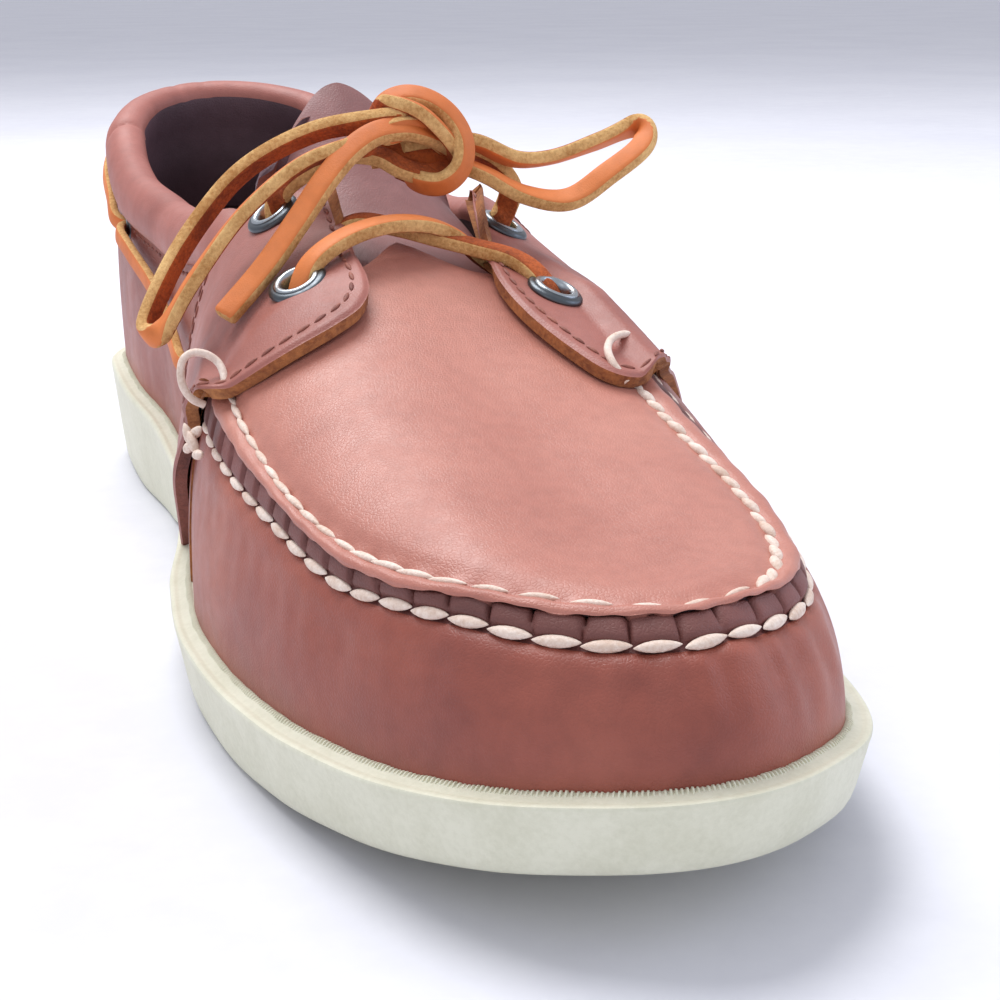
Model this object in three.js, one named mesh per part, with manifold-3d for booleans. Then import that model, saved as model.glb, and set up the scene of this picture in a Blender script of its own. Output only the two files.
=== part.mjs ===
// A leather boat shoe for the left foot, in millimetres: +X lateral, -Y toe, +Z up.
// The origin lies on the floor under the middle of the outsole's box.
import * as THREE from "three";
import { mergeVertices } from "three/addons/utils/BufferGeometryUtils.js";
import Module from "manifold-3d";

const wasm = await Module();
wasm.setup();

// Overall sizes
const soleLength = 300;
const soleWidth = 104;
const instepHeight = 88;
const heelHeight = 88;
const toeSpring = 12.5;
const archLift = 2.4;
const foreThickness = 12.4;
const heelThickness = 24.4;

// Walls and clearances
const ledge = 3.6;
const edgeTaper = 2.2;
const upperWall = 2.2;
const insoleThickness = 3;
const tongueThickness = 2.2;
const saddleThickness = 2.2;
const gap = 0.3;
const proud = saddleThickness + 2 * gap;

// Collar, eyelets and lace
const collarRadius = 3.6;
const eyeletRadius = 4.8;
const eyeletBore = 2.3;
const eyeletBarrel = 2.9;
const eyeletLip = 0.9;
const sideEyeletRadius = 3.4;
const sideEyeletBore = 2;
const sideEyeletBarrel = 2.5;
const laceWidth = 3.6;
const eyeletSides = 10;

// Tread
const lugGroove = 1.8;
const grooveDepth = 1.6;

// Outline of the outsole: along runs from toe to heel, widths are shares of soleWidth.
const outlineRows = [
  { along: 0, medial: 0, lateral: 0 },
  { along: 0.02, medial: 0.163, lateral: 0.163 },
  { along: 0.05, medial: 0.265, lateral: 0.266 },
  { along: 0.1, medial: 0.348, lateral: 0.35 },
  { along: 0.15, medial: 0.397, lateral: 0.4 },
  { along: 0.2, medial: 0.434, lateral: 0.433 },
  { along: 0.3, medial: 0.468, lateral: 0.486 },
  { along: 0.33, medial: 0.47, lateral: 0.5 },
  { along: 0.42, medial: 0.442, lateral: 0.53 },
  { along: 0.5, medial: 0.385, lateral: 0.514 },
  { along: 0.6, medial: 0.33, lateral: 0.462 },
  { along: 0.7, medial: 0.325, lateral: 0.405 },
  { along: 0.8, medial: 0.342, lateral: 0.372 },
  { along: 0.9, medial: 0.33, lateral: 0.34 },
  { along: 0.95, medial: 0.272, lateral: 0.276 },
  { along: 0.98, medial: 0.186, lateral: 0.188 },
  { along: 1, medial: 0, lateral: 0 },
];

// Side view of the outsole: shares of toeSpring, archLift, foreThickness and the heel's extra thickness.
const soleRows = [
  { along: 0, spring: 1, arch: 0, fore: 0.73, rise: 0 },
  { along: 0.06, spring: 0.69, arch: 0, fore: 0.78, rise: 0 },
  { along: 0.13, spring: 0.34, arch: 0, fore: 0.87, rise: 0 },
  { along: 0.2, spring: 0.12, arch: 0, fore: 0.95, rise: 0 },
  { along: 0.27, spring: 0, arch: 0, fore: 1, rise: 0 },
  { along: 0.36, spring: 0, arch: 0, fore: 1, rise: 0 },
  { along: 0.45, spring: 0, arch: 0.25, fore: 1, rise: 0.07 },
  { along: 0.55, spring: 0, arch: 1, fore: 1, rise: 0.26 },
  { along: 0.64, spring: 0, arch: 0.83, fore: 1, rise: 0.49 },
  { along: 0.7, spring: 0, arch: 0, fore: 1, rise: 0.66 },
  { along: 0.8, spring: 0, arch: 0, fore: 1, rise: 0.85 },
  { along: 0.9, spring: 0, arch: 0, fore: 1, rise: 0.95 },
  { along: 1, spring: 0, arch: 0, fore: 1, rise: 1 },
];

// Sections of the last, toe to heel. across is the ridge's offset as a share of soleWidth, and ridge its
// height as a share of instepHeight. rise is the pull of the side wall, lean tips it inwards, shoulder is
// the pull of the top and drop lowers it, as shares of the section: each pair is medial, lateral.
const sectionRows = [
  { along: 0, across: 0, ridge: 0.495, rise: [0.72, 0.72], lean: [-0.03, -0.03], shoulder: [0.76, 0.76], drop: [0.06, 0.06] },
  { along: 0.1, across: -0.015, ridge: 0.575, rise: [0.7, 0.75], lean: [-0.03, 0], shoulder: [0.76, 0.68], drop: [0.06, 0.13] },
  { along: 0.2, across: -0.03, ridge: 0.672, rise: [0.68, 0.77], lean: [-0.05, 0], shoulder: [0.7, 0.6], drop: [0.07, 0.19] },
  { along: 0.3, across: -0.04, ridge: 0.785, rise: [0.67, 0.78], lean: [-0.05, 0.02], shoulder: [0.64, 0.55], drop: [0.08, 0.2] },
  { along: 0.4, across: -0.04, ridge: 0.89, rise: [0.67, 0.77], lean: [-0.02, 0.06], shoulder: [0.6, 0.5], drop: [0.08, 0.19] },
  { along: 0.5, across: -0.035, ridge: 0.985, rise: [0.68, 0.75], lean: [-0.02, 0.13], shoulder: [0.58, 0.48], drop: [0.07, 0.15] },
  { along: 0.6, across: -0.03, ridge: 1.07, rise: [0.72, 0.75], lean: [-0.06, 0.15], shoulder: [0.6, 0.5], drop: [0.05, 0.09] },
  { along: 0.7, across: -0.02, ridge: 1.15, rise: [0.76, 0.76], lean: [-0.09, 0.08], shoulder: [0.64, 0.56], drop: [0.03, 0.05] },
  { along: 0.8, across: -0.01, ridge: 1.22, rise: [0.78, 0.78], lean: [-0.1, 0], shoulder: [0.7, 0.66], drop: [0.02, 0.02] },
  { along: 0.9, across: 0, ridge: 1.28, rise: [0.8, 0.8], lean: [-0.08, -0.05], shoulder: [0.74, 0.72], drop: [0, 0] },
  { along: 1, across: 0, ridge: 1.33, rise: [0.82, 0.82], lean: [-0.08, -0.08], shoulder: [0.76, 0.76], drop: [0, 0] },
];
const ridgeInset = 38 / 300;
const ridgeRounding = 12;

// Top line from the eyelet flap to the heel: along is a share of soleLength, height of heelHeight.
const toplineRows = [
  { along: 0.4, height: 1.02 },
  { along: 0.43, height: 0.955 },
  { along: 0.5, height: 0.86 },
  { along: 0.58, height: 0.8 },
  { along: 0.66, height: 0.775 },
  { along: 0.75, height: 0.795 },
  { along: 0.84, height: 0.85 },
  { along: 0.92, height: 0.95 },
  { along: 1, height: 1.02 },
];

// A smooth curve through the rows that doesn't overshoot them.
function through(xs, ys) {
  const steps = xs.slice(1).map((x, i) => x - xs[i]);
  const slopes = steps.map((step, i) => (ys[i + 1] - ys[i]) / step);
  const tangents = xs.map((x, i) => {
    if (i === 0) return slopes[0];
    if (i === xs.length - 1) return slopes[i - 1];
    if (slopes[i - 1] * slopes[i] <= 0) return 0;
    const before = 2 * steps[i] + steps[i - 1];
    const after = steps[i] + 2 * steps[i - 1];
    return (before + after) / (before / slopes[i - 1] + after / slopes[i]);
  });
  return (value) => {
    const x = Math.min(Math.max(value, xs[0]), xs[xs.length - 1]);
    let i = 0;
    while (i < xs.length - 2 && x >= xs[i + 1]) i += 1;
    const t = (x - xs[i]) / steps[i];
    const start = (1 + 2 * t) * (1 - t) ** 2 * ys[i] + t * (1 - t) ** 2 * steps[i] * tangents[i];
    const end = t * t * (3 - 2 * t) * ys[i + 1] + t * t * (t - 1) * steps[i] * tangents[i + 1];
    return start + end;
  };
}

const column = (rows, name) => through(rows.map((row) => row.along), rows.map((row) => row[name]));
const turnAt = (along) => Math.acos(1 - 2 * along);
const alongAt = (turn) => (1 - Math.cos(turn)) / 2;
const wrapTurn = (turn) => turn - 2 * Math.PI * Math.round(turn / (2 * Math.PI));
const outlineTurns = outlineRows.map((row) => turnAt(row.along));
const medialWidth = through(outlineTurns, outlineRows.map((row) => row.medial * soleWidth));
const lateralWidth = through(outlineTurns, outlineRows.map((row) => row.lateral * soleWidth));
const widest = (name) => Math.max(...outlineRows.map((row) => row[name])) * soleWidth;
const tipX = (widest("medial") - widest("lateral")) / 2;

// A point of the outsole's outline: turn 0 is the toe, pi the heel, positive turns the lateral side.
function rim(turn) {
  const around = wrapTurn(turn);
  const width = around < 0 ? -medialWidth(-around) : lateralWidth(around);
  return new THREE.Vector2(tipX + width, soleLength * (alongAt(around) - 0.5));
}

function outline(turn, inset) {
  const reach = 0.02;
  const tangent = rim(turn + reach).sub(rim(turn - reach)).normalize();
  return rim(turn).add(new THREE.Vector2(-tangent.y, tangent.x).multiplyScalar(inset));
}

const sole = {
  spring: column(soleRows, "spring"),
  arch: column(soleRows, "arch"),
  fore: column(soleRows, "fore"),
  rise: column(soleRows, "rise"),
};
const alongSole = (y) => y / soleLength + 0.5;

function soleBottom(y) {
  const along = alongSole(y);
  return sole.spring(along) * toeSpring + sole.arch(along) * archLift;
}

function soleTop(y) {
  const along = alongSole(y);
  const extra = sole.rise(along) * (heelThickness - foreThickness);
  return sole.spring(along) * toeSpring + sole.fore(along) * foreThickness + extra;
}

const pairOf = (rows, name) =>
  [0, 1].map((side) => through(rows.map((row) => row.along), rows.map((row) => row[name][side])));
const section = {
  across: column(sectionRows, "across"),
  ridge: column(sectionRows, "ridge"),
  rise: pairOf(sectionRows, "rise"),
  lean: pairOf(sectionRows, "lean"),
  shoulder: pairOf(sectionRows, "shoulder"),
  drop: pairOf(sectionRows, "drop"),
};

// The last's surface, from the sole's edge (climb 0) to its ridge (climb 1), moved inwards by depth.
function form(turn, climb, depth) {
  const around = wrapTurn(turn);
  const along = alongAt(around);
  const foot = outline(turn, ledge + depth);
  const footZ = soleTop(foot.y) + gap;
  const ridgeY = soleLength * (0.5 - ridgeInset) * (2 * along - 1);
  const ridgeX = tipX + section.across(along) * soleWidth;
  const ridge = new THREE.Vector3(ridgeX, ridgeY, section.ridge(along) * instepHeight - depth);
  const inward = new THREE.Vector3(ridge.x - foot.x, ridge.y - foot.y, 0);
  const side = around < 0 ? 0 : 1;
  const height = ridge.z - footZ;
  const wallTop = new THREE.Vector3(foot.x, foot.y, footZ + section.rise[side](along) * height);
  wallTop.addScaledVector(inward, section.lean[side](along));
  const shoulder = ridge.clone().addScaledVector(inward, -section.shoulder[side](along));
  shoulder.z -= section.drop[side](along) * height;
  const start = new THREE.Vector3(foot.x, foot.y, footZ);
  const point = new THREE.CubicBezierCurve3(start, wallTop, shoulder, ridge).getPoint(climb);
  const slopes = [0, 1].map((each) => section.drop[each](along) / section.shoulder[each](along));
  const steepness = ((ridge.z - soleTop(ridge.y)) * (slopes[0] + slopes[1])) / soleWidth;
  const away = Math.hypot(point.x - ridge.x, point.y - ridge.y);
  const reach = inward.length();
  point.z -= steepness * (rounding(away) - (away / reach) * rounding(reach));
  return point;
}

// How far the rounded ridge falls short of a sharp one of unit slope.
function rounding(away) {
  return Math.hypot(away, ridgeRounding) - away;
}

// How far up the surface a given height lies.
function climbAt(turn, height, depth) {
  let low = 0;
  let high = 1;
  for (let i = 0; i < 30; i += 1) {
    const middle = (low + high) / 2;
    if (form(turn, middle, depth).z < height) low = middle;
    else high = middle;
  }
  return (low + high) / 2;
}

// The turn on one side (-1 medial, 1 lateral) where the surface at a height lies at a given y.
function turnToward(side, y, height, depth) {
  let low = 0.05;
  let high = Math.PI - 0.02;
  for (let i = 0; i < 30; i += 1) {
    const middle = (low + high) / 2;
    const point = form(side * middle, climbAt(side * middle, height, depth), depth);
    if (point.y < y) low = middle;
    else high = middle;
  }
  return (side * (low + high)) / 2;
}

function onSide(side, y, height, depth) {
  const turn = turnToward(side, y, height, depth);
  return form(turn, climbAt(turn, height, depth), depth);
}

// The point of the ridge at a given y.
function ridgeAt(y, depth) {
  return form(turnAt(0.5 + y / (soleLength * (1 - 2 * ridgeInset))), 1, depth);
}

// The height of the surface over a point of the plan.
function heightOver(x, y, depth) {
  const ridge = ridgeAt(y, depth);
  const side = x < ridge.x ? -1 : 1;
  let low = soleTop(y) + gap;
  let high = ridge.z;
  for (let i = 0; i < 16; i += 1) {
    const middle = (low + high) / 2;
    const surface = onSide(side, y, middle, depth);
    if (Math.abs(surface.x - ridge.x) > Math.abs(x - ridge.x)) low = middle;
    else high = middle;
  }
  return (low + high) / 2;
}

function outward(side, y, height) {
  const turn = turnToward(side, y, height, 0);
  const climb = climbAt(turn, height, 0);
  const step = 0.01;
  const across = form(turn + step, climb, 0).sub(form(turn - step, climb, 0));
  const up = form(turn, climb + step, 0).sub(form(turn, climb - step, 0));
  return across.cross(up).normalize();
}

// Solids

function solidOf(geometry) {
  const bare = geometry.clone();
  bare.deleteAttribute("normal");
  bare.deleteAttribute("uv");
  const merged = mergeVertices(bare, 1e-4);
  const vertProperties = merged.attributes.position.array;
  const triVerts = new Uint32Array(merged.index.array);
  const made = new wasm.Manifold(new wasm.Mesh({ numProp: 3, vertProperties, triVerts }));
  if (made.volume() > 0) return made;
  triVerts.reverse();
  return new wasm.Manifold(new wasm.Mesh({ numProp: 3, vertProperties, triVerts }));
}

function geometryOf(solid) {
  const mesh = solid.getMesh();
  const geometry = new THREE.BufferGeometry();
  geometry.setAttribute("position", new THREE.BufferAttribute(mesh.vertProperties, 3));
  geometry.setIndex(new THREE.BufferAttribute(mesh.triVerts, 1));
  geometry.computeVertexNormals();
  return geometry;
}

// A closed body through rings that all have one point per turn. Its ends are closed across, but for a
// last ring that has already closed on a line.
function loftSolid(rings, closeTop = true) {
  const count = rings[0].length;
  const position = rings.flat().flatMap((point) => [point.x, point.y, point.z]);
  const index = [];
  for (let ring = 0; ring < rings.length - 1; ring += 1) {
    for (let i = 0; i < count; i += 1) {
      const next = (i + 1) % count;
      const a = ring * count + i;
      const b = ring * count + next;
      index.push(a, b, b + count, a, b + count, a + count);
    }
  }
  const cap = (first, flip) => {
    for (let i = 0; i < count / 2; i += 1) {
      const a = first + i;
      const b = first + i + 1;
      const c = first + ((count - i - 1) % count);
      const d = first + ((count - i) % count);
      const faces = [a, b, c, a, c, d];
      index.push(...(flip ? faces.reverse() : faces));
    }
  };
  cap(0, true);
  if (closeTop) cap((rings.length - 1) * count, false);
  const geometry = new THREE.BufferGeometry();
  geometry.setAttribute("position", new THREE.Float32BufferAttribute(position, 3));
  geometry.setIndex(index);
  return solidOf(geometry);
}

const turns = (count) => Array.from({ length: count }, (none, i) => (2 * Math.PI * i) / count);
const shares = (count) => Array.from({ length: count + 1 }, (none, i) => i / count);

function formSolid(depth, count, rows, below) {
  const around = turns(count);
  const rings = shares(rows).map((climb) => around.map((turn) => form(turn, climb, depth)));
  const floor = around.map((turn) => form(turn, 0, depth).setZ(form(turn, 0, depth).z - below));
  return loftSolid(below > 0 ? [floor, ...rings] : rings, false);
}

function prismAlongX(points, from, to) {
  const shape = new THREE.Shape(points.map(([y, z]) => new THREE.Vector2(y, z)));
  const geometry = new THREE.ExtrudeGeometry(shape, { depth: to - from, bevelEnabled: false });
  geometry.applyMatrix4(new THREE.Matrix4().set(0, 0, 1, from, 1, 0, 0, 0, 0, 1, 0, 0, 0, 0, 0, 1));
  return solidOf(geometry);
}

function prismAlongZ(points, from, to) {
  const shape = new THREE.Shape(points.map(([x, y]) => new THREE.Vector2(x, y)));
  const geometry = new THREE.ExtrudeGeometry(shape, { depth: to - from, bevelEnabled: false });
  return solidOf(geometry.translate(0, 0, from));
}

// A tube of a given diameter along a smooth curve through the points.
function tubeSolid(points, diameter, sides, steps) {
  const section = new THREE.Shape(
    turns(sides).map(
      (turn) => new THREE.Vector2(Math.cos(turn), Math.sin(turn)).multiplyScalar(diameter / 2),
    ),
  );
  const extrudePath = new THREE.CatmullRomCurve3(points, false, "centripetal");
  return solidOf(new THREE.ExtrudeGeometry(section, { steps, extrudePath, bevelEnabled: false }));
}

const group = new THREE.Group();

function addPiece(name, solid, colour, roughness, metalness = 0) {
  const material = new THREE.MeshStandardMaterial({ color: colour, roughness, metalness });
  const mesh = new THREE.Mesh(geometryOf(solid), material);
  mesh.name = name;
  group.add(mesh);
}

// Outsole: one rubber body with its outline, toe spring, arch and heel, and cross-cut lugs below.
const outsoleLevels = [
  { inset: edgeTaper + 1.6, share: 0 },
  { inset: edgeTaper, share: 0.12 },
  { inset: 0.8, share: 0.6 },
  { inset: 0, share: 0.82 },
  { inset: 0, share: 0.94 },
  { inset: 0.5, share: 1 },
];

function outsoleSolid() {
  const around = turns(80);
  const rings = outsoleLevels.map(({ inset, share }) =>
    around.map((turn) => {
      const { x, y } = outline(turn, inset);
      const low = soleBottom(y);
      return new THREE.Vector3(x, y, low + share * (soleTop(y) - low));
    }),
  );
  return loftSolid(rings);
}

const grooveRuns = [
  { from: 0.1, to: 0.43, count: 9 },
  { from: 0.74, to: 0.93, count: 5 },
];

function grooveSolid(along) {
  const y = soleLength * (along - 0.5);
  const half = lugGroove / 2;
  const bend = 4;
  const waves = 4;
  const points = shares(waves).map((share, i) => [
    (share - 0.5) * soleWidth * 1.1,
    y + (i % 2 === 0 ? bend / 2 : -bend / 2),
  ]);
  const front = points.map(([x, at]) => [x, at - half]);
  const back = points.map(([x, at]) => [x, at + half]).reverse();
  return prismAlongZ([...front, ...back], -grooveDepth, soleBottom(y) + grooveDepth);
}

let outsole = outsoleSolid();
for (const { from, to, count } of grooveRuns) {
  for (const share of shares(count - 1)) {
    outsole = outsole.subtract(grooveSolid(from + share * (to - from)));
  }
}
addPiece("outsole", outsole, 0xdcdcc8, 0.6);

// Insole: the footbed that lies on the outsole inside the upper.
function insoleSolid() {
  const around = turns(64);
  const level = (inset, height) =>
    around.map((turn) => {
      const { x, y } = outline(turn, ledge + upperWall + gap + inset);
      return new THREE.Vector3(x, y, soleTop(y) + gap + height);
    });
  return loftSolid([level(0.6, 0), level(0.6, insoleThickness - 0.8), level(1.6, insoleThickness)]);
}
addPiece("insole", insoleSolid(), 0x9a6a4a, 0.8);

// Cutters for the opening: all above the top line, and the throat between the flaps.
const throatRows = [
  { along: 0.36, medial: 0.1, lateral: 0.06 },
  { along: 0.38, medial: 0.105, lateral: 0.085 },
  { along: 0.41, medial: 0.1, lateral: 0.1 },
  { along: 0.45, medial: 0.1, lateral: 0.135 },
  { along: 0.52, medial: 0.1, lateral: 0.2 },
];
const throatBulge = 0.04;
const top = 200;
const toplineHeight = column(toplineRows, "height");

function toplineCutter() {
  const edge = shares(24).map((share) => {
    const along = 0.4 + 0.62 * share;
    return [soleLength * (along - 0.5), toplineHeight(along) * heelHeight];
  });
  return prismAlongX([...edge, [soleLength, top], [edge[0][0], top]], -soleWidth, soleWidth);
}

// The vamp's back edge bulges up into the throat between the flaps.
function throatCutter() {
  const edge = (side, name) =>
    throatRows.map((row) => [tipX + side * row[name] * soleWidth, soleLength * (row.along - 0.5)]);
  const medial = edge(-1, "medial");
  const lateral = edge(1, "lateral");
  const front = shares(6).slice(1, -1).map((share) => {
    const x = medial[0][0] + share * (lateral[0][0] - medial[0][0]);
    return [x, medial[0][1] + throatBulge * soleLength * Math.sin(Math.PI * share)];
  });
  return prismAlongZ([...medial.reverse(), ...front, ...lateral], heelHeight * 0.55, top);
}

const opening = toplineCutter().add(throatCutter());

// The padded collar follows the top line round the heel, from flap to flap.
const collarStart = 1.62;

// The point of the top line that a turn reaches.
function toplinePoint(turn, depth) {
  let height = heelHeight;
  let point;
  for (let i = 0; i < 8; i += 1) {
    point = form(turn, climbAt(turn, height, depth), depth);
    height = toplineHeight(alongSole(point.y)) * heelHeight;
  }
  return point;
}

function collarPath() {
  return shares(26).map((share) => {
    const turn = collarStart + share * 2 * (Math.PI - collarStart);
    return toplinePoint(turn, upperWall / 2);
  });
}

// The points with each end moved on by a length, so that a cut is longer than what lies in it.
function lengthened(points, extra) {
  const last = points.length - 1;
  const start = points[0].clone().sub(points[1]).setLength(extra).add(points[0]);
  const end = points[last].clone().sub(points[last - 1]).setLength(extra).add(points[last]);
  return [start, ...points.slice(1, last), end];
}

const collar = tubeSolid(collarPath(), 2 * collarRadius, 8, 44);
const collarSeat = tubeSolid(lengthened(collarPath(), gap), 2 * (collarRadius + gap), 8, 44);
addPiece("collar", collar, 0x9c5450, 0.6);

// Eyelets: each a rolled ring with its barrel through the leather. along is a share of soleLength, across of
// soleWidth from the middle, and height of heelHeight.
const eyelets = [
  { name: "eyelet_front_medial", side: -1, along: 0.37, across: -0.225 },
  { name: "eyelet_front_lateral", side: 1, along: 0.348, across: 0.165 },
  { name: "eyelet_rear_medial", side: -1, along: 0.463, across: -0.196 },
  { name: "eyelet_rear_lateral", side: 1, along: 0.447, across: 0.179 },
  { name: "eyelet_side_front_medial", side: -1, along: 0.58, height: 0.477 },
  { name: "eyelet_side_front_lateral", side: 1, along: 0.58, height: 0.477 },
  { name: "eyelet_side_rear_medial", side: -1, along: 0.813, height: 0.693 },
  { name: "eyelet_side_rear_lateral", side: 1, along: 0.813, height: 0.693 },
].map(({ name, side, along, across, height }) => {
  const throat = across !== undefined;
  const y = soleLength * (along - 0.5);
  const z = throat ? heightOver(tipX + across * soleWidth, y, 0) : height * heelHeight;
  return { name, side, y, z, throat, lift: throat ? proud : 2 * gap };
});

function placedOn({ side, y, z }, geometry, lift) {
  const normal = outward(side, y, z);
  const point = onSide(side, y, z, 0).addScaledVector(normal, lift);
  const turn = new THREE.Quaternion().setFromUnitVectors(new THREE.Vector3(0, 1, 0), normal);
  return geometry.applyQuaternion(turn).translate(point.x, point.y, point.z);
}

function eyeletGeometry({ throat, lift }) {
  const radius = throat ? eyeletRadius : sideEyeletRadius;
  const bore = throat ? eyeletBore : sideEyeletBore;
  const barrel = throat ? eyeletBarrel : sideEyeletBarrel;
  const bottom = gap - lift - upperWall;
  const profile = [
    [bore, bottom],
    [barrel, bottom],
    [barrel, 0],
    [radius, 0],
    [radius - 0.3, eyeletLip * 0.7],
    [(radius + bore) / 2, eyeletLip],
    [bore + 0.2, eyeletLip * 0.6],
    [bore, 0],
    [bore, bottom],
  ];
  return new THREE.LatheGeometry(profile.map(([x, y]) => new THREE.Vector2(x, y)), eyeletSides);
}

function eyeletHole(eyelet) {
  const barrel = eyelet.throat ? eyeletBarrel : sideEyeletBarrel;
  const geometry = new THREE.CylinderGeometry(barrel + gap, barrel + gap, 16, eyeletSides);
  return solidOf(placedOn(eyelet, geometry, 0));
}

for (const eyelet of eyelets) {
  const ring = placedOn(eyelet, eyeletGeometry(eyelet), eyelet.lift);
  addPiece(eyelet.name, solidOf(ring), 0xb8bcc2, 0.3, 1);
}
const holes = eyelets.map(eyeletHole);

// Upper: one hollow leather wall, open underneath, at the collar and at the throat.
function upperSolid() {
  let wall = formSolid(0, 56, 10, 0).subtract(formSolid(upperWall, 56, 10, 5));
  wall = wall.subtract(opening).subtract(collarSeat);
  for (const hole of holes) {
    wall = wall.subtract(hole);
  }
  return wall;
}
addPiece("upper", upperSolid(), 0xa5605a, 0.55);

// Saddles: the eyelet overlays, cut between two larger forms by their side outline.
const saddleFront = [
  { height: 1.1, along: 0.28 },
  { height: 0.62, along: 0.28 },
  { height: 0.59, along: 0.35 },
  { height: 0.54, along: 0.37 },
  { height: 0.34, along: 0.395 },
  { height: 0.1, along: 0.45 },
];
// Plan of each flap from its throat edge round its front corner: shares of soleWidth and soleLength.
const flapRows = {
  medial: [
    { across: 0.1, along: 0.56 },
    { across: 0.1, along: 0.465 },
    { across: 0.14, along: 0.375 },
    { across: 0.148, along: 0.345 },
    { across: 0.18, along: 0.322 },
    { across: 0.225, along: 0.312 },
    { across: 0.3, along: 0.311 },
    { across: 0.36, along: 0.322 },
    { across: 0.39, along: 0.36 },
    { across: 0.6, along: 0.36 },
  ],
  lateral: [
    { across: 0.2, along: 0.56 },
    { across: 0.15, along: 0.46 },
    { across: 0.088, along: 0.375 },
    { across: 0.08, along: 0.345 },
    { across: 0.095, along: 0.312 },
    { across: 0.13, along: 0.28 },
    { across: 0.175, along: 0.263 },
    { across: 0.25, along: 0.272 },
    { across: 0.33, along: 0.31 },
    { across: 0.4, along: 0.35 },
    { across: 0.6, along: 0.35 },
  ],
};
const saddleBack = [
  { height: 0.1, along: 0.54 },
  { height: 0.5, along: 0.53 },
  { height: 0.75, along: 0.52 },
  { height: 1.1, along: 0.51 },
];
const saddleInner = formSolid(-gap, 56, 10, 12);
const saddleOuter = formSolid(-gap - saddleThickness, 56, 10, 0);
const saddleShell = saddleOuter.subtract(saddleInner).subtract(opening).subtract(collarSeat);

function saddleSolid(side) {
  const place = (along, height) => [soleLength * (along - 0.5), height * heelHeight];
  const points = [...saddleFront, ...saddleBack].map(({ along, height }) => place(along, height));
  const flap = flapRows[side < 0 ? "medial" : "lateral"].map(({ across, along }) => [
    tipX + side * across * soleWidth,
    soleLength * (along - 0.5),
  ]);
  const edge = tipX + side * 0.6 * soleWidth;
  const back = soleLength * 0.06;
  const plan = prismAlongZ([...flap, [edge, back], [flap[0][0], back]], 0, top);
  let saddle = saddleShell.intersect(plan).intersect(prismAlongX(points, -soleWidth, soleWidth));
  for (const hole of holes) {
    saddle = saddle.subtract(hole);
  }
  return saddle;
}
addPiece("saddle_medial", saddleSolid(-1), 0x9c5850, 0.6);
addPiece("saddle_lateral", saddleSolid(1), 0x9c5850, 0.6);

// Tongue: a curved strip under the throat that rises behind the flaps.
const tongueRows = [
  { along: 0.27, half: 0.17, lift: 0 },
  { along: 0.33, half: 0.19, lift: 0 },
  { along: 0.39, half: 0.2, lift: 0 },
  { along: 0.475, half: 0.2, lift: 0 },
  { along: 0.5, half: 0.18, lift: 0.035 },
  { along: 0.52, half: 0.14, lift: 0.07 },
];

function tonguePoint({ along, half, lift }, across, depth) {
  const y = soleLength * (along - 0.5);
  const x = ridgeAt(y, 0).x + across * half * soleWidth;
  const crown = Math.max(0, 1 - (across / 0.7) ** 4);
  const z = heightOver(x, y, upperWall + 4 * gap) + crown * lift * heelHeight;
  return new THREE.Vector3(x, y, z - depth);
}

function tongueSolid() {
  const across = shares(12).map((share) => 2 * share - 1);
  const rings = tongueRows.map((row) => [
    ...across.map((at) => tonguePoint(row, at, 0)),
    ...across.map((at) => tonguePoint(row, -at, tongueThickness)),
  ]);
  return ribbonSolid(rings);
}

// A closed body through rings whose second half runs back under the first.
function ribbonSolid(rings) {
  const count = rings[0].length;
  const half = count / 2;
  const position = rings.flat().flatMap((point) => [point.x, point.y, point.z]);
  const index = [];
  for (let ring = 0; ring < rings.length - 1; ring += 1) {
    for (let i = 0; i < count; i += 1) {
      const a = ring * count + i;
      const b = ring * count + ((i + 1) % count);
      index.push(a, b, b + count, a, b + count, a + count);
    }
  }
  for (const [first, flip] of [[0, true], [(rings.length - 1) * count, false]]) {
    for (let i = 0; i < half - 1; i += 1) {
      const a = first + i;
      const d = first + count - 1 - i;
      const faces = [a, a + 1, d - 1, a, d - 1, d];
      index.push(...(flip ? faces.reverse() : faces));
    }
  }
  const geometry = new THREE.BufferGeometry();
  geometry.setAttribute("position", new THREE.Float32BufferAttribute(position, 3));
  geometry.setIndex(index);
  return solidOf(geometry);
}
addPiece("tongue", tongueSolid(), 0x9c5850, 0.6);

// Lace: a rawhide cord, its crossing over the throat joined where its two bars meet.
const laceSides = 8;
const lace = (points, steps) =>
  tubeSolid(points.map(([x, y, z]) => new THREE.Vector3(x, y, z)), laceWidth, laceSides, steps);

// Places of the plan are shares of soleWidth and soleLength from the middle.
const planned = (x, y) => [x * soleWidth, y * soleLength];

// Points of the plan, raised from the height at which the lace clears an eyelet of the throat.
const overEyelet = proud + eyeletLip + 2 * gap + laceWidth / 2;
const lifted = (points) =>
  points.map(([x, y, rise]) => [...planned(x, y), heightOver(...planned(x, y), 0) + overEyelet + rise]);

const barFromMedial = lifted([
  [-0.26, -0.1317, 0.5],
  [-0.173, -0.125, 0.3],
  [-0.096, -0.1167, 0.3],
  [-0.019, -0.11, 0.3],
  [0.043, -0.105, -0.5],
]);
const barFromLateral = lifted([
  [0.144, -0.1467, 0.5],
  [0.087, -0.1283, 0.3],
  [0.029, -0.1167, -1.1],
  [-0.029, -0.1083, -2.1],
  [-0.087, -0.1, -2.9],
]);
addPiece("lace_crossing", lace(barFromMedial, 8).add(lace(barFromLateral, 8)), 0xd87a34, 0.8);

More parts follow.
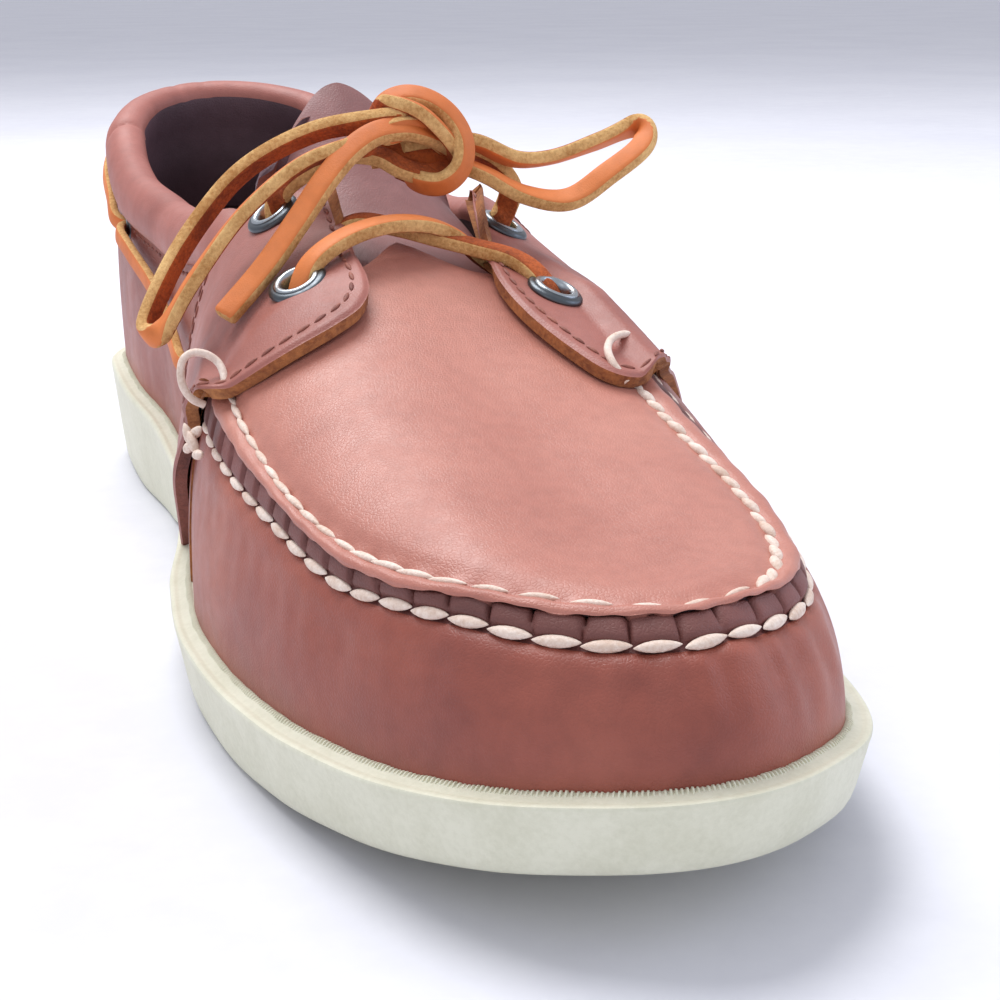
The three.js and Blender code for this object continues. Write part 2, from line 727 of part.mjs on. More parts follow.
// Side laces: run outside the quarter between its eyelets, and round the heel under the collar. along is a
// share of soleLength and height of heelHeight, and lift is the lace's middle over the leather.
const besideEyelet = eyeletLip + 2 * gap + laceWidth / 2;
const besideWall = gap + laceWidth / 2;
const sideRun = [
  { along: 0.58, height: 0.477, lift: besideEyelet + 0.4 },
  { along: 0.62, height: 0.517, lift: besideWall + 0.6 },
  { along: 0.697, height: 0.591, lift: besideWall + 0.3 },
  { along: 0.767, height: 0.653, lift: besideWall + 0.6 },
  { along: 0.805, height: 0.686, lift: besideEyelet + 0.4 },
];
const heelRun = [
  { along: 0.822, height: 0.705, lift: besideEyelet + 0.4 },
  { along: 0.853, height: 0.756, lift: besideWall + 0.5 },
  { along: 0.893, height: 0.813, lift: besideWall + 0.5 },
  { along: 0.933, height: 0.852, lift: besideWall + 0.5 },
  { along: 0.96, height: 0.869, lift: besideWall + 0.6 },
];
const heelRunBack = { height: 0.881, lift: besideWall + 0.5 };

const besideQuarter = (side, rows) =>
  rows.map(({ along, height, lift }) => {
    const y = soleLength * (along - 0.5);
    const z = height * heelHeight;
    return onSide(side, y, z, 0).addScaledVector(outward(side, y, z), lift).toArray();
  });

addPiece("side_lace_medial", lace(besideQuarter(-1, sideRun), 10), 0xd8a860, 0.8);
addPiece("side_lace_lateral", lace(besideQuarter(1, sideRun), 10), 0xd8a860, 0.8);

const heelBack = form(Math.PI, climbAt(Math.PI, heelRunBack.height * heelHeight, 0), 0);
const heelLace = [
  ...besideQuarter(-1, heelRun),
  [heelBack.x, heelBack.y + heelRunBack.lift, heelBack.z],
  ...besideQuarter(1, heelRun).reverse(),
];
addPiece("heel_lace", lace(heelLace, 26), 0xd8a860, 0.8);

// Knot: the two ends rise from the rear eyelets and wrap each other over the throat.
const knotStrands = [
  lifted([
    [-0.216, -0.045, 0.7],
    [-0.173, -0.0533, 2.4],
    [-0.106, -0.0633, 4.9],
    [-0.038, -0.0717, 6.4],
    [0.019, -0.075, 5.4],
    [0.067, -0.0733, 1.9],
  ]),
  lifted([
    [0.159, -0.0567, 1.5],
    [0.115, -0.0617, 3.9],
    [0.058, -0.07, 5.9],
    [-0.01, -0.0767, 7.9],
    [-0.058, -0.0767, 7.1],
  ]),
];
const knotFoot = heightOver(...planned(-0.03, -0.073), 0);

// Points of the plan, raised from the surface under the knot.
const overKnot = (points) => points.map(([x, y, rise]) => [...planned(x, y), knotFoot + rise]);

const knotWrap = overKnot([
  [-0.048, -0.085, 16],
  [-0.019, -0.0867, 19.5],
  [0.029, -0.08, 20.5],
  [0.062, -0.07, 17],
  [0.058, -0.0667, 12],
  [0.019, -0.0733, 9.5],
  [-0.019, -0.0833, 11],
]);
addPiece(
  "lace_knot",
  lace(knotStrands[0], 9).add(lace(knotStrands[1], 8)).add(lace(knotWrap, 10)),
  0xd87a34,
  0.8,
);

// Bow: a long loop over the medial flap, a short one over the lateral flap, and the cut end.
const loopMedial = overKnot([
  [-0.066, -0.08, 19.1],
  [-0.179, -0.0667, 17.2],
  [-0.298, -0.06, 11],
  [-0.38, -0.0617, 2.4],
  [-0.442, -0.07, -6.1],
  [-0.486, -0.0817, -14.6],
  [-0.471, -0.0933, -14.6],
  [-0.409, -0.095, -5.5],
  [-0.317, -0.09, 5.2],
  [-0.207, -0.0867, 13],
  [-0.108, -0.0885, 15.4],
]);
const loopLateral = overKnot([
  [0.087, -0.0727, 14.6],
  [0.165, -0.0733, 11.2],
  [0.231, -0.0717, 11.2],
  [0.317, -0.0717, 13.6],
  [0.399, -0.075, 16.4],
  [0.385, -0.09, 13.6],
  [0.308, -0.0967, 8.6],
  [0.237, -0.095, 4.4],
  [0.163, -0.0883, 5.5],
  [0.101, -0.0827, 9],
]);
const cutEnd = overKnot([
  [-0.053, -0.0905, 11.2],
  [-0.163, -0.1017, 8.8],
  [-0.221, -0.11, 4],
  [-0.298, -0.1167, -2.4],
  [-0.375, -0.1233, -10],
]);
addPiece("lace_loop_medial", lace(loopMedial, 20), 0xd8a860, 0.8);
addPiece("lace_loop_lateral", lace(loopLateral, 16), 0xd8a860, 0.8);
addPiece("lace_end", lace(cutEnd, 7), 0xd87a34, 0.8);

export default group;
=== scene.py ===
# %% [markdown]
# # A leather boat shoe
#
# A moccasin-toe shoe for the left foot: an oiled leather upper with a plug sewn on in waxed thread, two eyelet
# saddles, a padded collar, a rawhide lace that runs round the heel, and a pale rubber sole. Every leather panel
# is cut from one surface, the last's, so the panels fit each other as they would on the bench.

import math

import bpy
import numpy as np
from mathutils import Matrix, Vector


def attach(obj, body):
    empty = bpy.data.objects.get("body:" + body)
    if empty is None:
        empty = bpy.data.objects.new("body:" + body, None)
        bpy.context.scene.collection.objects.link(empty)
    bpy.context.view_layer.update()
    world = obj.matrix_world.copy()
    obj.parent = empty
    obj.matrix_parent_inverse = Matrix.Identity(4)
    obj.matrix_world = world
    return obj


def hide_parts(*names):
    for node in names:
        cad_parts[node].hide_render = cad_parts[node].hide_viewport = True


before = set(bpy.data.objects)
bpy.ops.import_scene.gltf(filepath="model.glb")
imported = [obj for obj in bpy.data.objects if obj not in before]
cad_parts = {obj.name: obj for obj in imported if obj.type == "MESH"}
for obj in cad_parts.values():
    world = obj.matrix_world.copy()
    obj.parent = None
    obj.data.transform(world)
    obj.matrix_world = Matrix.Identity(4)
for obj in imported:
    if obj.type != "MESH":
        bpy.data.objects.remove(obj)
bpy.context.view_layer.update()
MM = 0.001
print("frame nodes:", len(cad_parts))

# %% [markdown]
# ## The camera
#
# It stands low in front of the toe, a little to the medial side, close enough for the toe to loom and the heel
# to fall away. Its place was solved from the sole's outline in the photograph. It is turned and zoomed so that
# this one shoe fills the picture.

# %% Camera
camera_place = Vector((-95.62, -320.1, 117.6)) * MM
heading, pitch, roll = 0.352, 0.292, 0.006
focal_pixels, picture_pixels, sensor_width = 1760.0, 1000, 36
forward = Vector((math.sin(heading) * math.cos(pitch), math.cos(heading) * math.cos(pitch), -math.sin(pitch)))
level = Vector((math.cos(heading), -math.sin(heading), 0))
below = forward.cross(level)
right = math.cos(roll) * level + math.sin(roll) * below
up = math.sin(roll) * level - math.cos(roll) * below

bpy.ops.object.camera_add(location=camera_place)
camera = bpy.context.object
turned_axes = (right, up, -forward, camera_place)
camera.matrix_world = Matrix([[axis[row] for axis in turned_axes] for row in range(3)] + [[0, 0, 0, 1]])
camera.data.sensor_width = sensor_width
camera.data.lens = sensor_width * focal_pixels / picture_pixels
camera.data.clip_start = 0.01
bpy.context.scene.camera = camera
print("lens", round(camera.data.lens, 1), "mm")

# %% [markdown]
# ## The shape of the last
#
# The sizes and tables below are the shoe's own: the outline of the sole, its side view, and a row for each
# cross-section of the last. `form` turns them into the leather's outer surface. It takes a turn round the shoe
# (0 at the toe, pi at the heel, positive on the lateral side) and a climb from the feather edge (0) to the ridge
# of the instep (1).

# %% Sizes and tables, in millimetres
sole_length, sole_width = 300.0, 104.0
instep_height, heel_height = 88.0, 88.0
toe_spring, arch_lift = 12.5, 2.4
fore_thickness, heel_thickness = 12.4, 24.4
ledge, upper_wall, gap = 3.6, 2.2, 0.3
ridge_inset, ridge_rounding = 38 / 300, 12.0
ridge_length = sole_length * (1 - 2 * ridge_inset)

# along, medial, lateral
outline_rows = [
    (0, 0, 0), (0.02, 0.163, 0.163), (0.05, 0.265, 0.266), (0.1, 0.348, 0.35), (0.15, 0.397, 0.4),
    (0.2, 0.434, 0.433),
    (0.3, 0.468, 0.486), (0.33, 0.47, 0.5), (0.42, 0.442, 0.53), (0.5, 0.385, 0.514), (0.6, 0.33, 0.462),
    (0.7, 0.325, 0.405), (0.8, 0.342, 0.372), (0.9, 0.33, 0.34), (0.95, 0.272, 0.276), (0.98, 0.186, 0.188),
    (1, 0, 0),
]
# along, spring, arch, fore, rise
sole_rows = [
    (0, 1, 0, 0.73, 0), (0.06, 0.69, 0, 0.78, 0), (0.13, 0.34, 0, 0.87, 0), (0.2, 0.12, 0, 0.95, 0),
    (0.27, 0, 0, 1, 0),
    (0.36, 0, 0, 1, 0), (0.45, 0, 0.25, 1, 0.07), (0.55, 0, 1, 1, 0.26), (0.64, 0, 0.83, 1, 0.49),
    (0.7, 0, 0, 1, 0.66), (0.8, 0, 0, 1, 0.85), (0.9, 0, 0, 1, 0.95), (1, 0, 0, 1, 1),
]
# along, across, ridge, then medial and lateral: rise, lean, shoulder and drop
section_rows = [
    (0, 0, 0.495, 0.72, 0.72, -0.03, -0.03, 0.76, 0.76, 0.06, 0.06),
    (0.1, -0.015, 0.575, 0.7, 0.75, -0.03, 0, 0.76, 0.68, 0.06, 0.13),
    (0.2, -0.03, 0.672, 0.68, 0.77, -0.05, 0, 0.7, 0.6, 0.07, 0.19),
    (0.3, -0.04, 0.785, 0.67, 0.78, -0.05, 0.02, 0.64, 0.55, 0.08, 0.2),
    (0.4, -0.04, 0.89, 0.67, 0.77, -0.02, 0.06, 0.6, 0.5, 0.08, 0.19),
    (0.5, -0.035, 0.985, 0.68, 0.75, -0.02, 0.13, 0.58, 0.48, 0.07, 0.15),
    (0.6, -0.03, 1.07, 0.72, 0.75, -0.06, 0.15, 0.6, 0.5, 0.05, 0.09),
    (0.7, -0.02, 1.15, 0.76, 0.76, -0.09, 0.08, 0.64, 0.56, 0.03, 0.05),
    (0.8, -0.01, 1.22, 0.78, 0.78, -0.1, 0, 0.7, 0.66, 0.02, 0.02),
    (0.9, 0, 1.28, 0.8, 0.8, -0.08, -0.05, 0.74, 0.72, 0, 0),
    (1, 0, 1.33, 0.82, 0.82, -0.08, -0.08, 0.76, 0.76, 0, 0),
]
# along, height
topline_rows = [(0.4, 1.02), (0.43, 0.955), (0.5, 0.86), (0.58, 0.8), (0.66, 0.775), (0.75, 0.795), (0.84, 0.85),
                (0.92, 0.95), (1, 1.02)]

# %% [markdown]
# Each table gives a few sure places. A curve runs through them and never swings past them, so the leather gets no
# bulge between two rows. The tables count turns and heights in shares, so one size can change without the others.


# %% Curves through the tables
def through(xs, ys):
    """A smooth curve through the points that doesn't overshoot them."""
    xs, ys = np.asarray(xs, float), np.asarray(ys, float)
    steps = np.diff(xs)
    slopes = np.diff(ys) / steps
    tangents = np.zeros_like(xs)
    tangents[0], tangents[-1] = slopes[0], slopes[-1]
    for i in range(1, len(xs) - 1):
        if slopes[i - 1] * slopes[i] > 0:
            before, after = 2 * steps[i] + steps[i - 1], steps[i] + 2 * steps[i - 1]
            tangents[i] = (before + after) / (before / slopes[i - 1] + after / slopes[i])

    def curve(value):
        x = np.clip(np.asarray(value, float), xs[0], xs[-1])
        i = np.clip(np.searchsorted(xs, x, side="right") - 1, 0, len(xs) - 2)
        t = (x - xs[i]) / steps[i]
        start = (1 + 2 * t) * (1 - t) ** 2 * ys[i] + t * (1 - t) ** 2 * steps[i] * tangents[i]
        return start + t * t * (3 - 2 * t) * ys[i + 1] + t * t * (t - 1) * steps[i] * tangents[i + 1]

    return curve


def columns(rows):
    """One curve for each column of a table, over its first column."""
    table = np.array(rows, float)
    return [through(table[:, 0], table[:, i]) for i in range(1, table.shape[1])]


def along_at(turn):
    """How far along the shoe a turn lies, from 0 at the toe to 1 at the heel."""
    return (1 - np.cos(turn)) / 2


outline_table = np.array(outline_rows, float)
outline_turns = np.arccos(1 - 2 * outline_table[:, 0])
medial_width = through(outline_turns, outline_table[:, 1] * sole_width)
lateral_width = through(outline_turns, outline_table[:, 2] * sole_width)
tip_x = (outline_table[:, 1].max() - outline_table[:, 2].max()) * sole_width / 2
spring_at, arch_at, fore_at, rise_at = columns(sole_rows)
(across_at, ridge_at, rise_medial, rise_lateral, lean_medial, lean_lateral, shoulder_medial, shoulder_lateral,
 drop_medial, drop_lateral) = columns(section_rows)
(topline_at,) = columns(topline_rows)
print(len(outline_rows), "rows of the outline,", len(section_rows), "cross-sections")

# %% [markdown]
# The outline is measured in from its edge, because everything on the shoe follows it: the ledge, the feather edge
# of the upper and the sock. Heights are found by halving, which is slower than a formula but never goes astray.


# %% The sole's outline and heights
def wrapped(turn):
    """The same turn, counted from -pi to pi."""
    turn = np.asarray(turn, float)
    return turn - 2 * np.pi * np.round(turn / (2 * np.pi))


def run_along(points, power=1.0):
    """How far along a line each of its points lies."""
    return np.concatenate([[0], np.cumsum(np.linalg.norm(np.diff(points, axis=0), axis=1) ** power)])


def bisected(low, high, steps, short):
    """Closes in between two bounds: short(middle) says where the middle is still too low."""
    for _ in range(steps):
        middle = (low + high) / 2
        still_short = short(middle)
        low, high = np.where(still_short, middle, low), np.where(still_short, high, middle)
    return (low + high) / 2


def rim(turn):
    around = wrapped(turn)
    width = np.where(around < 0, -medial_width(-around), lateral_width(around))
    return np.stack([tip_x + width, sole_length * (along_at(around) - 0.5)], -1)


def ridge_line(y):
    """Where the ridge lies across the shoe."""
    return tip_x + across_at(np.clip(y / ridge_length + 0.5, 0, 1)) * sole_width


def outline(turn, inset):
    """A place in from the sole's edge, square to it."""
    reach = 0.02
    tangent = rim(turn + reach) - rim(turn - reach)
    tangent /= np.linalg.norm(tangent, axis=-1, keepdims=True)
    inward = np.stack([-tangent[..., 1], tangent[..., 0]], -1)
    return rim(turn) + inward * np.asarray(inset, float)[..., None]


def sole_bottom(y):
    along = y / sole_length + 0.5
    return spring_at(along) * toe_spring + arch_at(along) * arch_lift


def sole_top(y):
    along = y / sole_length + 0.5
    extra = rise_at(along) * (heel_thickness - fore_thickness)
    return spring_at(along) * toe_spring + fore_at(along) * fore_thickness + extra


# %% [markdown]
# Each cross-section is a curve with four control points, from the feather edge up to the ridge. Between the rows
# the control points glide, so one function gives every place of the leather. The ridge is rounded off, since its
# two sides would otherwise meet in a crease.


# %% The leather's surface
def form(turn, climb, depth=0.0):
    """The leather's surface in millimetres, or another one some depth below it."""
    turn, climb, depth = np.broadcast_arrays(*(np.asarray(value, float) for value in (turn, climb, depth)))
    around = wrapped(turn)
    along = along_at(around)
    side = lambda medial, lateral: np.where(around < 0, medial(along), lateral(along))[..., None]
    foot = outline(turn, ledge + depth)
    foot_z = sole_top(foot[..., 1]) + gap
    ridge_y = sole_length * (0.5 - ridge_inset) * (2 * along - 1)
    ridge_z = ridge_at(along) * instep_height - depth
    ridge = np.stack([tip_x + across_at(along) * sole_width, ridge_y, ridge_z], -1)
    inward = ridge[..., :2] - foot
    height = (ridge[..., 2] - foot_z)[..., None]
    start = np.concatenate([foot, foot_z[..., None]], -1)
    wall = np.concatenate([foot + inward * side(lean_medial, lean_lateral),
                           foot_z[..., None] + side(rise_medial, rise_lateral) * height], -1)
    shoulder = np.concatenate([ridge[..., :2] - inward * side(shoulder_medial, shoulder_lateral),
                               ridge[..., 2:] - side(drop_medial, drop_lateral) * height], -1)
    v = climb[..., None]
    point = (1 - v) ** 3 * start + 3 * (1 - v) ** 2 * v * wall + 3 * (1 - v) * v * v * shoulder + v**3 * ridge
    slopes = drop_medial(along) / shoulder_medial(along) + drop_lateral(along) / shoulder_lateral(along)
    steepness = (ridge[..., 2] - sole_top(ridge[..., 1])) * slopes / sole_width
    short = lambda away: np.hypot(away, ridge_rounding) - away
    away = np.linalg.norm(point[..., :2] - ridge[..., :2], axis=-1)
    reach = np.linalg.norm(inward, axis=-1)
    point[..., 2] -= steepness * (short(away) - away / reach * short(reach))
    return point


def outward(turn, climb):
    """The leather's outward direction, level across the ridge where its two sides meet."""
    turn, climb = np.broadcast_arrays(np.asarray(turn, float), np.asarray(climb, float))
    step = 2e-3
    climb = np.clip(climb, step, 1 - step)
    across = form(turn + step, climb) - form(turn - step, climb)
    upward = form(turn, climb + step) - form(turn, climb - step)
    normal = np.cross(across, upward)
    normal /= np.linalg.norm(normal, axis=-1, keepdims=True)
    return normal


def on_leather(turn, climb, lift):
    """A point of the leather, lifted off it by so many millimetres."""
    return form(turn, climb) + outward(turn, climb) * np.asarray(lift, float)[..., None]


def climb_to(turn, height):
    """How far up the surface each height lies."""
    turn, height = np.broadcast_arrays(np.asarray(turn, float), np.asarray(height, float))
    under = lambda climb: form(turn, climb)[..., 2] < height
    return bisected(np.zeros(turn.shape), np.ones(turn.shape), 24, under)


# %% [markdown]
# The top line is where the quarters end and the collar begins. It is low at the ankle and rises to the heel and
# the instep.

# %% The top line
topline_turns = np.linspace(-np.pi, np.pi, 721)
topline_climbs = np.full(721, 0.8)
# the top line's height depends on where along the shoe it lies, and that on its height, so it is found in rounds
for _ in range(8):
    behind = topline_at(form(topline_turns, topline_climbs)[:, 1] / sole_length + 0.5)
    topline_climbs = climb_to(topline_turns, behind * heel_height)


def climb_to_topline(turn):
    return np.interp(wrapped(turn), topline_turns, topline_climbs)


def smooth(value, low, high):
    """Eases from 0 at low to 1 at high."""
    t = np.clip((value - low) / (high - low), 0, 1)
    return t * t * (3 - 2 * t)


print("ball width", round(float(np.ptp(rim(np.linspace(-np.pi, np.pi, 400))[:, 0])), 1), "mm")

# %% [markdown]
# ## Making tools
#
# A panel starts as a flat grid, as leather starts flat, and each of its points is then moved to its place on the
# shoe. Threads and laces are swept along a path, and a stitch is modelled once and copied along its row.


# %% Panels
def only(piece):
    bpy.ops.object.select_all(action="DESELECT")
    piece.select_set(True)
    bpy.context.view_layer.objects.active = piece


def panel(name, cells_u, cells_v, place):
    """A grid whose points go to place(u, v), in millimetres, with u and v from 0 to 1."""
    bpy.ops.object.select_all(action="DESELECT")
    bpy.ops.mesh.primitive_grid_add(x_subdivisions=cells_u, y_subdivisions=cells_v, size=1)
    piece = bpy.context.object
    piece.name = piece.data.name = name
    flat = np.empty(len(piece.data.vertices) * 3)
    piece.data.vertices.foreach_get("co", flat)
    flat = flat.reshape(-1, 3)
    points = place(flat[:, 0] + 0.5, flat[:, 1] + 0.5) * MM
    piece.data.vertices.foreach_set("co", points.ravel())
    piece.data.update()
    return piece


def edited(piece, *steps):
    """Runs edit-mode steps on the whole piece."""
    only(piece)
    bpy.ops.object.mode_set(mode="EDIT")
    bpy.ops.mesh.select_all(action="SELECT")
    for step in steps:
        step()
    bpy.ops.object.mode_set(mode="OBJECT")


def merged(piece, distance=0.00002):
    edited(piece, lambda: bpy.ops.mesh.remove_doubles(threshold=distance))


def flipped(piece):
    edited(piece, bpy.ops.mesh.flip_normals)


def faced_outward(piece):
    edited(piece, lambda: bpy.ops.mesh.normals_make_consistent(inside=False))


def applied(piece, kind, **settings):
    only(piece)
    modifier = piece.modifiers.new(kind.title(), kind)
    for name, value in settings.items():
        setattr(modifier, name, value)
    bpy.ops.object.modifier_apply(modifier=modifier.name)


def smoothed(piece, weights, iterations):
    """Evens out the places of a piece where weights, one for each point, are above zero."""
    group = piece.vertex_groups.new(name="smooth")
    for index in np.nonzero(weights > 0.01)[0]:
        group.add([int(index)], float(weights[index]), "REPLACE")
    applied(piece, "SMOOTH", factor=0.5, iterations=iterations, vertex_group="smooth")
    piece.vertex_groups.clear()


def walled(piece, thickness, materials, inner, edge):
    """Gives a sheet its thickness. inner and edge say which material its back and its cut edge take."""
    for finish in materials:
        piece.data.materials.append(finish)
    applied(piece, "SOLIDIFY", thickness=thickness * MM, offset=-1, material_offset=inner,
            material_offset_rim=edge)


def face_shares(piece):
    """Each face's place on the flat grid that it came from, u and v from 0 to 1."""
    flat = np.empty(2 * len(piece.data.loops))
    piece.data.uv_layers.active.data.foreach_get("uv", flat)
    return flat.reshape(-1, 4, 2).mean(1).T


def painted(piece, chosen, index):
    """Gives the chosen faces another of the piece's materials."""
    indices = np.empty(len(piece.data.polygons), np.int32)
    piece.data.polygons.foreach_get("material_index", indices)
    piece.data.polygons.foreach_set("material_index", np.where(chosen, index, indices).astype(np.int32))


def finished(piece, materials=(), replaces=(), angle=50):
    """The last steps of every piece: its finishes, shading and body, and the solids it stands for."""
    for finish in materials:
        piece.data.materials.append(finish)
    only(piece)
    bpy.ops.object.shade_smooth_by_angle(angle=math.radians(angle))
    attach(piece, "root")
    if replaces:
        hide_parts(*replaces)
    print(piece.name, len(piece.data.polygons), "faces")


# %% [markdown]
# A sweep needs an even path. The few places that are given are joined by a smooth curve, which is cut into even
# steps. At each step the section stands square to the path, with its face in a chosen direction.


# %% Sweeps
def rounded_path(points, count):
    """A smooth centripetal curve through the points, cut into even steps."""
    points = np.asarray(points, float)
    knots = run_along(points[:, :3], 0.5)
    before, after = 2 * points[0] - points[1], 2 * points[-1] - points[-2]
    control = np.vstack([before, points, after])
    times = np.concatenate([[-knots[1]], knots, [2 * knots[-1] - knots[-2]]])
    fine = []
    for i in range(1, len(control) - 2):
        t = np.linspace(times[i], times[i + 1], 40, endpoint=False)[:, None]
        t0, t1, t2, t3 = times[i - 1 : i + 3]
        p0, p1, p2, p3 = control[i - 1 : i + 3]
        a1 = (t1 - t) / (t1 - t0) * p0 + (t - t0) / (t1 - t0) * p1
        a2 = (t2 - t) / (t2 - t1) * p1 + (t - t1) / (t2 - t1) * p2
        a3 = (t3 - t) / (t3 - t2) * p2 + (t - t2) / (t3 - t2) * p3
        b1 = (t2 - t) / (t2 - t0) * a1 + (t - t0) / (t2 - t0) * a2
        b2 = (t3 - t) / (t3 - t1) * a2 + (t - t1) / (t3 - t1) * a3
        fine.append((t2 - t) / (t2 - t1) * b1 + (t - t1) / (t2 - t1) * b2)
    fine = np.vstack([*fine, points[-1:]])
    run = run_along(fine[:, :3])
    even = np.linspace(0, run[-1], count)
    return np.stack([np.interp(even, run, fine[:, i]) for i in range(fine.shape[1])], -1)


def frames_along(path, facing):
    """The directions along, up and across of a strip whose face looks towards facing."""
    along = np.gradient(path, axis=0)
    along /= np.linalg.norm(along, axis=1, keepdims=True)
    facing = facing - (facing * along).sum(1, keepdims=True) * along
    facing /= np.linalg.norm(facing, axis=1, keepdims=True)
    return along, facing, np.cross(along, facing)


def swept(name, path, facing, section):
    """A closed bar of the section (across, up) along the path, as a wrapped grid with two end caps."""
    along, upward, across = frames_along(path, np.broadcast_to(facing, path.shape))
    section = np.asarray(section, float)
    corners = len(section)

    def place(u, v):
        i = np.rint(u * (len(path) - 1)).astype(int)
        j = np.rint(v * corners).astype(int) % corners
        return path[i] + across[i] * section[j, :1] + upward[i] * section[j, 1:]

    piece = panel(name, len(path) - 1, corners, place)
    merged(piece, 0.000002)
    only(piece)
    bpy.ops.object.mode_set(mode="EDIT")
    bpy.ops.mesh.select_all(action="DESELECT")
    bpy.ops.mesh.select_non_manifold(extend=False)
    bpy.ops.mesh.edge_face_add()
    bpy.ops.object.mode_set(mode="OBJECT")
    faced_outward(piece)
    return piece


def ring_section(radius, corners):
    turns = np.linspace(0, 2 * np.pi, corners, endpoint=False)
    return np.stack([radius * np.cos(turns), radius * np.sin(turns)], -1)


def strap_section(width, thickness, round_off=0.8):
    """A rectangle with rounded corners, wound the way a ring is."""
    corners = []
    for quarter in range(4):
        middle_x = (width / 2 - round_off) * (1 if quarter in (0, 3) else -1)
        middle_y = (thickness / 2 - round_off) * (1 if quarter < 2 else -1)
        for turn in np.radians([8, 45, 82]) + quarter * np.pi / 2:
            corners.append((middle_x + round_off * np.cos(turn), middle_y + round_off * np.sin(turn)))
    return np.array(corners)


# %% [markdown]
# Stitches repeat more than anything else on a shoe. One is modelled, a sphere drawn out to two points, and its
# copies differ a little in size and direction. A row is one mesh, which keeps the scene light.


# %% Rows of stitches
def stitch_row(name, places, alongs, ups, length, width, height, twist=0.0):
    """One stitch, a pointed lens of thread, copied to every place at its own length, width and height."""
    bpy.ops.object.select_all(action="DESELECT")
    bpy.ops.mesh.primitive_uv_sphere_add(segments=10, ring_count=9, radius=0.5)
    stitch = bpy.context.object
    model = np.array([v.co for v in stitch.data.vertices])
    model[:, :2] *= np.sqrt(np.maximum(1 - 4 * model[:, 2:] ** 2, 0)) ** 0.7
    faces = [list(p.vertices) for p in stitch.data.polygons]
    bpy.data.objects.remove(stitch)
    count = len(places)
    length, width, height = (np.broadcast_to(np.asarray(value, float), (count,))[:, None, None]
                             for value in (length, width, height))
    alongs = alongs / np.linalg.norm(alongs, axis=1, keepdims=True)
    across = np.cross(ups, alongs)
    alongs = np.cos(twist) * alongs + np.sin(twist) * across
    across = np.cross(ups, alongs)
    points = (places[:, None] + length * model[None, :, 2:] * alongs[:, None]
              + width * model[None, :, :1] * across[:, None] + height * model[None, :, 1:2] * ups[:, None])
    mesh = bpy.data.meshes.new(name)
    turned = [[i + k * len(model) for i in face] for k in range(count) for face in faces]
    mesh.from_pydata((points.reshape(-1, 3) * MM).tolist(), [], turned)
    piece = bpy.data.objects.new(name, mesh)
    bpy.context.collection.objects.link(piece)
    faced_outward(piece)
    return piece


# %% [markdown]
# ## Materials
#
# The leathers are full-grain and oiled: a fine pebble, soft cloudy colour and a satin gloss. The thread is thick,
# waxed and off-white. The lace is rawhide, orange on its grain and pale and fibrous on its cut sides.


# %% Colours and nodes
def linear(hex_colour):
    parts = [int(hex_colour[i : i + 2], 16) / 255 for i in (1, 3, 5)]
    return [p / 12.92 if p <= 0.04045 else ((p + 0.055) / 1.055) ** 2.4 for p in parts] + [1.0]


def add_node(tree, kind, inputs=None, **settings):
    """A node with its settings, and with values or (node, output) links on its inputs."""
    made = tree.nodes.new(kind)
    for name, value in settings.items():
        setattr(made, name, value)
    for name, value in (inputs or {}).items():
        if isinstance(value, tuple) and isinstance(value[0], bpy.types.Node):
            tree.links.new(value[0].outputs[value[1]], made.inputs[name])
        else:
            made.inputs[name].default_value = value
    return made


def ramp(tree, source, stops):
    made = add_node(tree, "ShaderNodeValToRGB", {0: source})
    while len(made.color_ramp.elements) < len(stops):
        made.color_ramp.elements.new(0.5)
    for element, (place, colour) in zip(made.color_ramp.elements, stops):
        element.position = place
        element.color = colour if isinstance(colour, list) else [colour, colour, colour, 1]
    return made


def material(name):
    made = bpy.data.materials.new(name)
    made.use_nodes = True
    tree = made.node_tree
    tree.nodes.clear()
    output = add_node(tree, "ShaderNodeOutputMaterial")
    shader = add_node(tree, "ShaderNodeBsdfPrincipled")
    tree.links.new(shader.outputs[0], output.inputs[0])
    return made, tree, shader


def noise(tree, place, scale, detail, roughness=0.5, **more):
    """A noise pattern. Its scale counts waves in a metre, so 420 is a wave of about 2.4 mm."""
    inputs = {"Vector": place, "Scale": scale, "Detail": detail, "Roughness": roughness, **more}
    return add_node(tree, "ShaderNodeTexNoise", inputs)


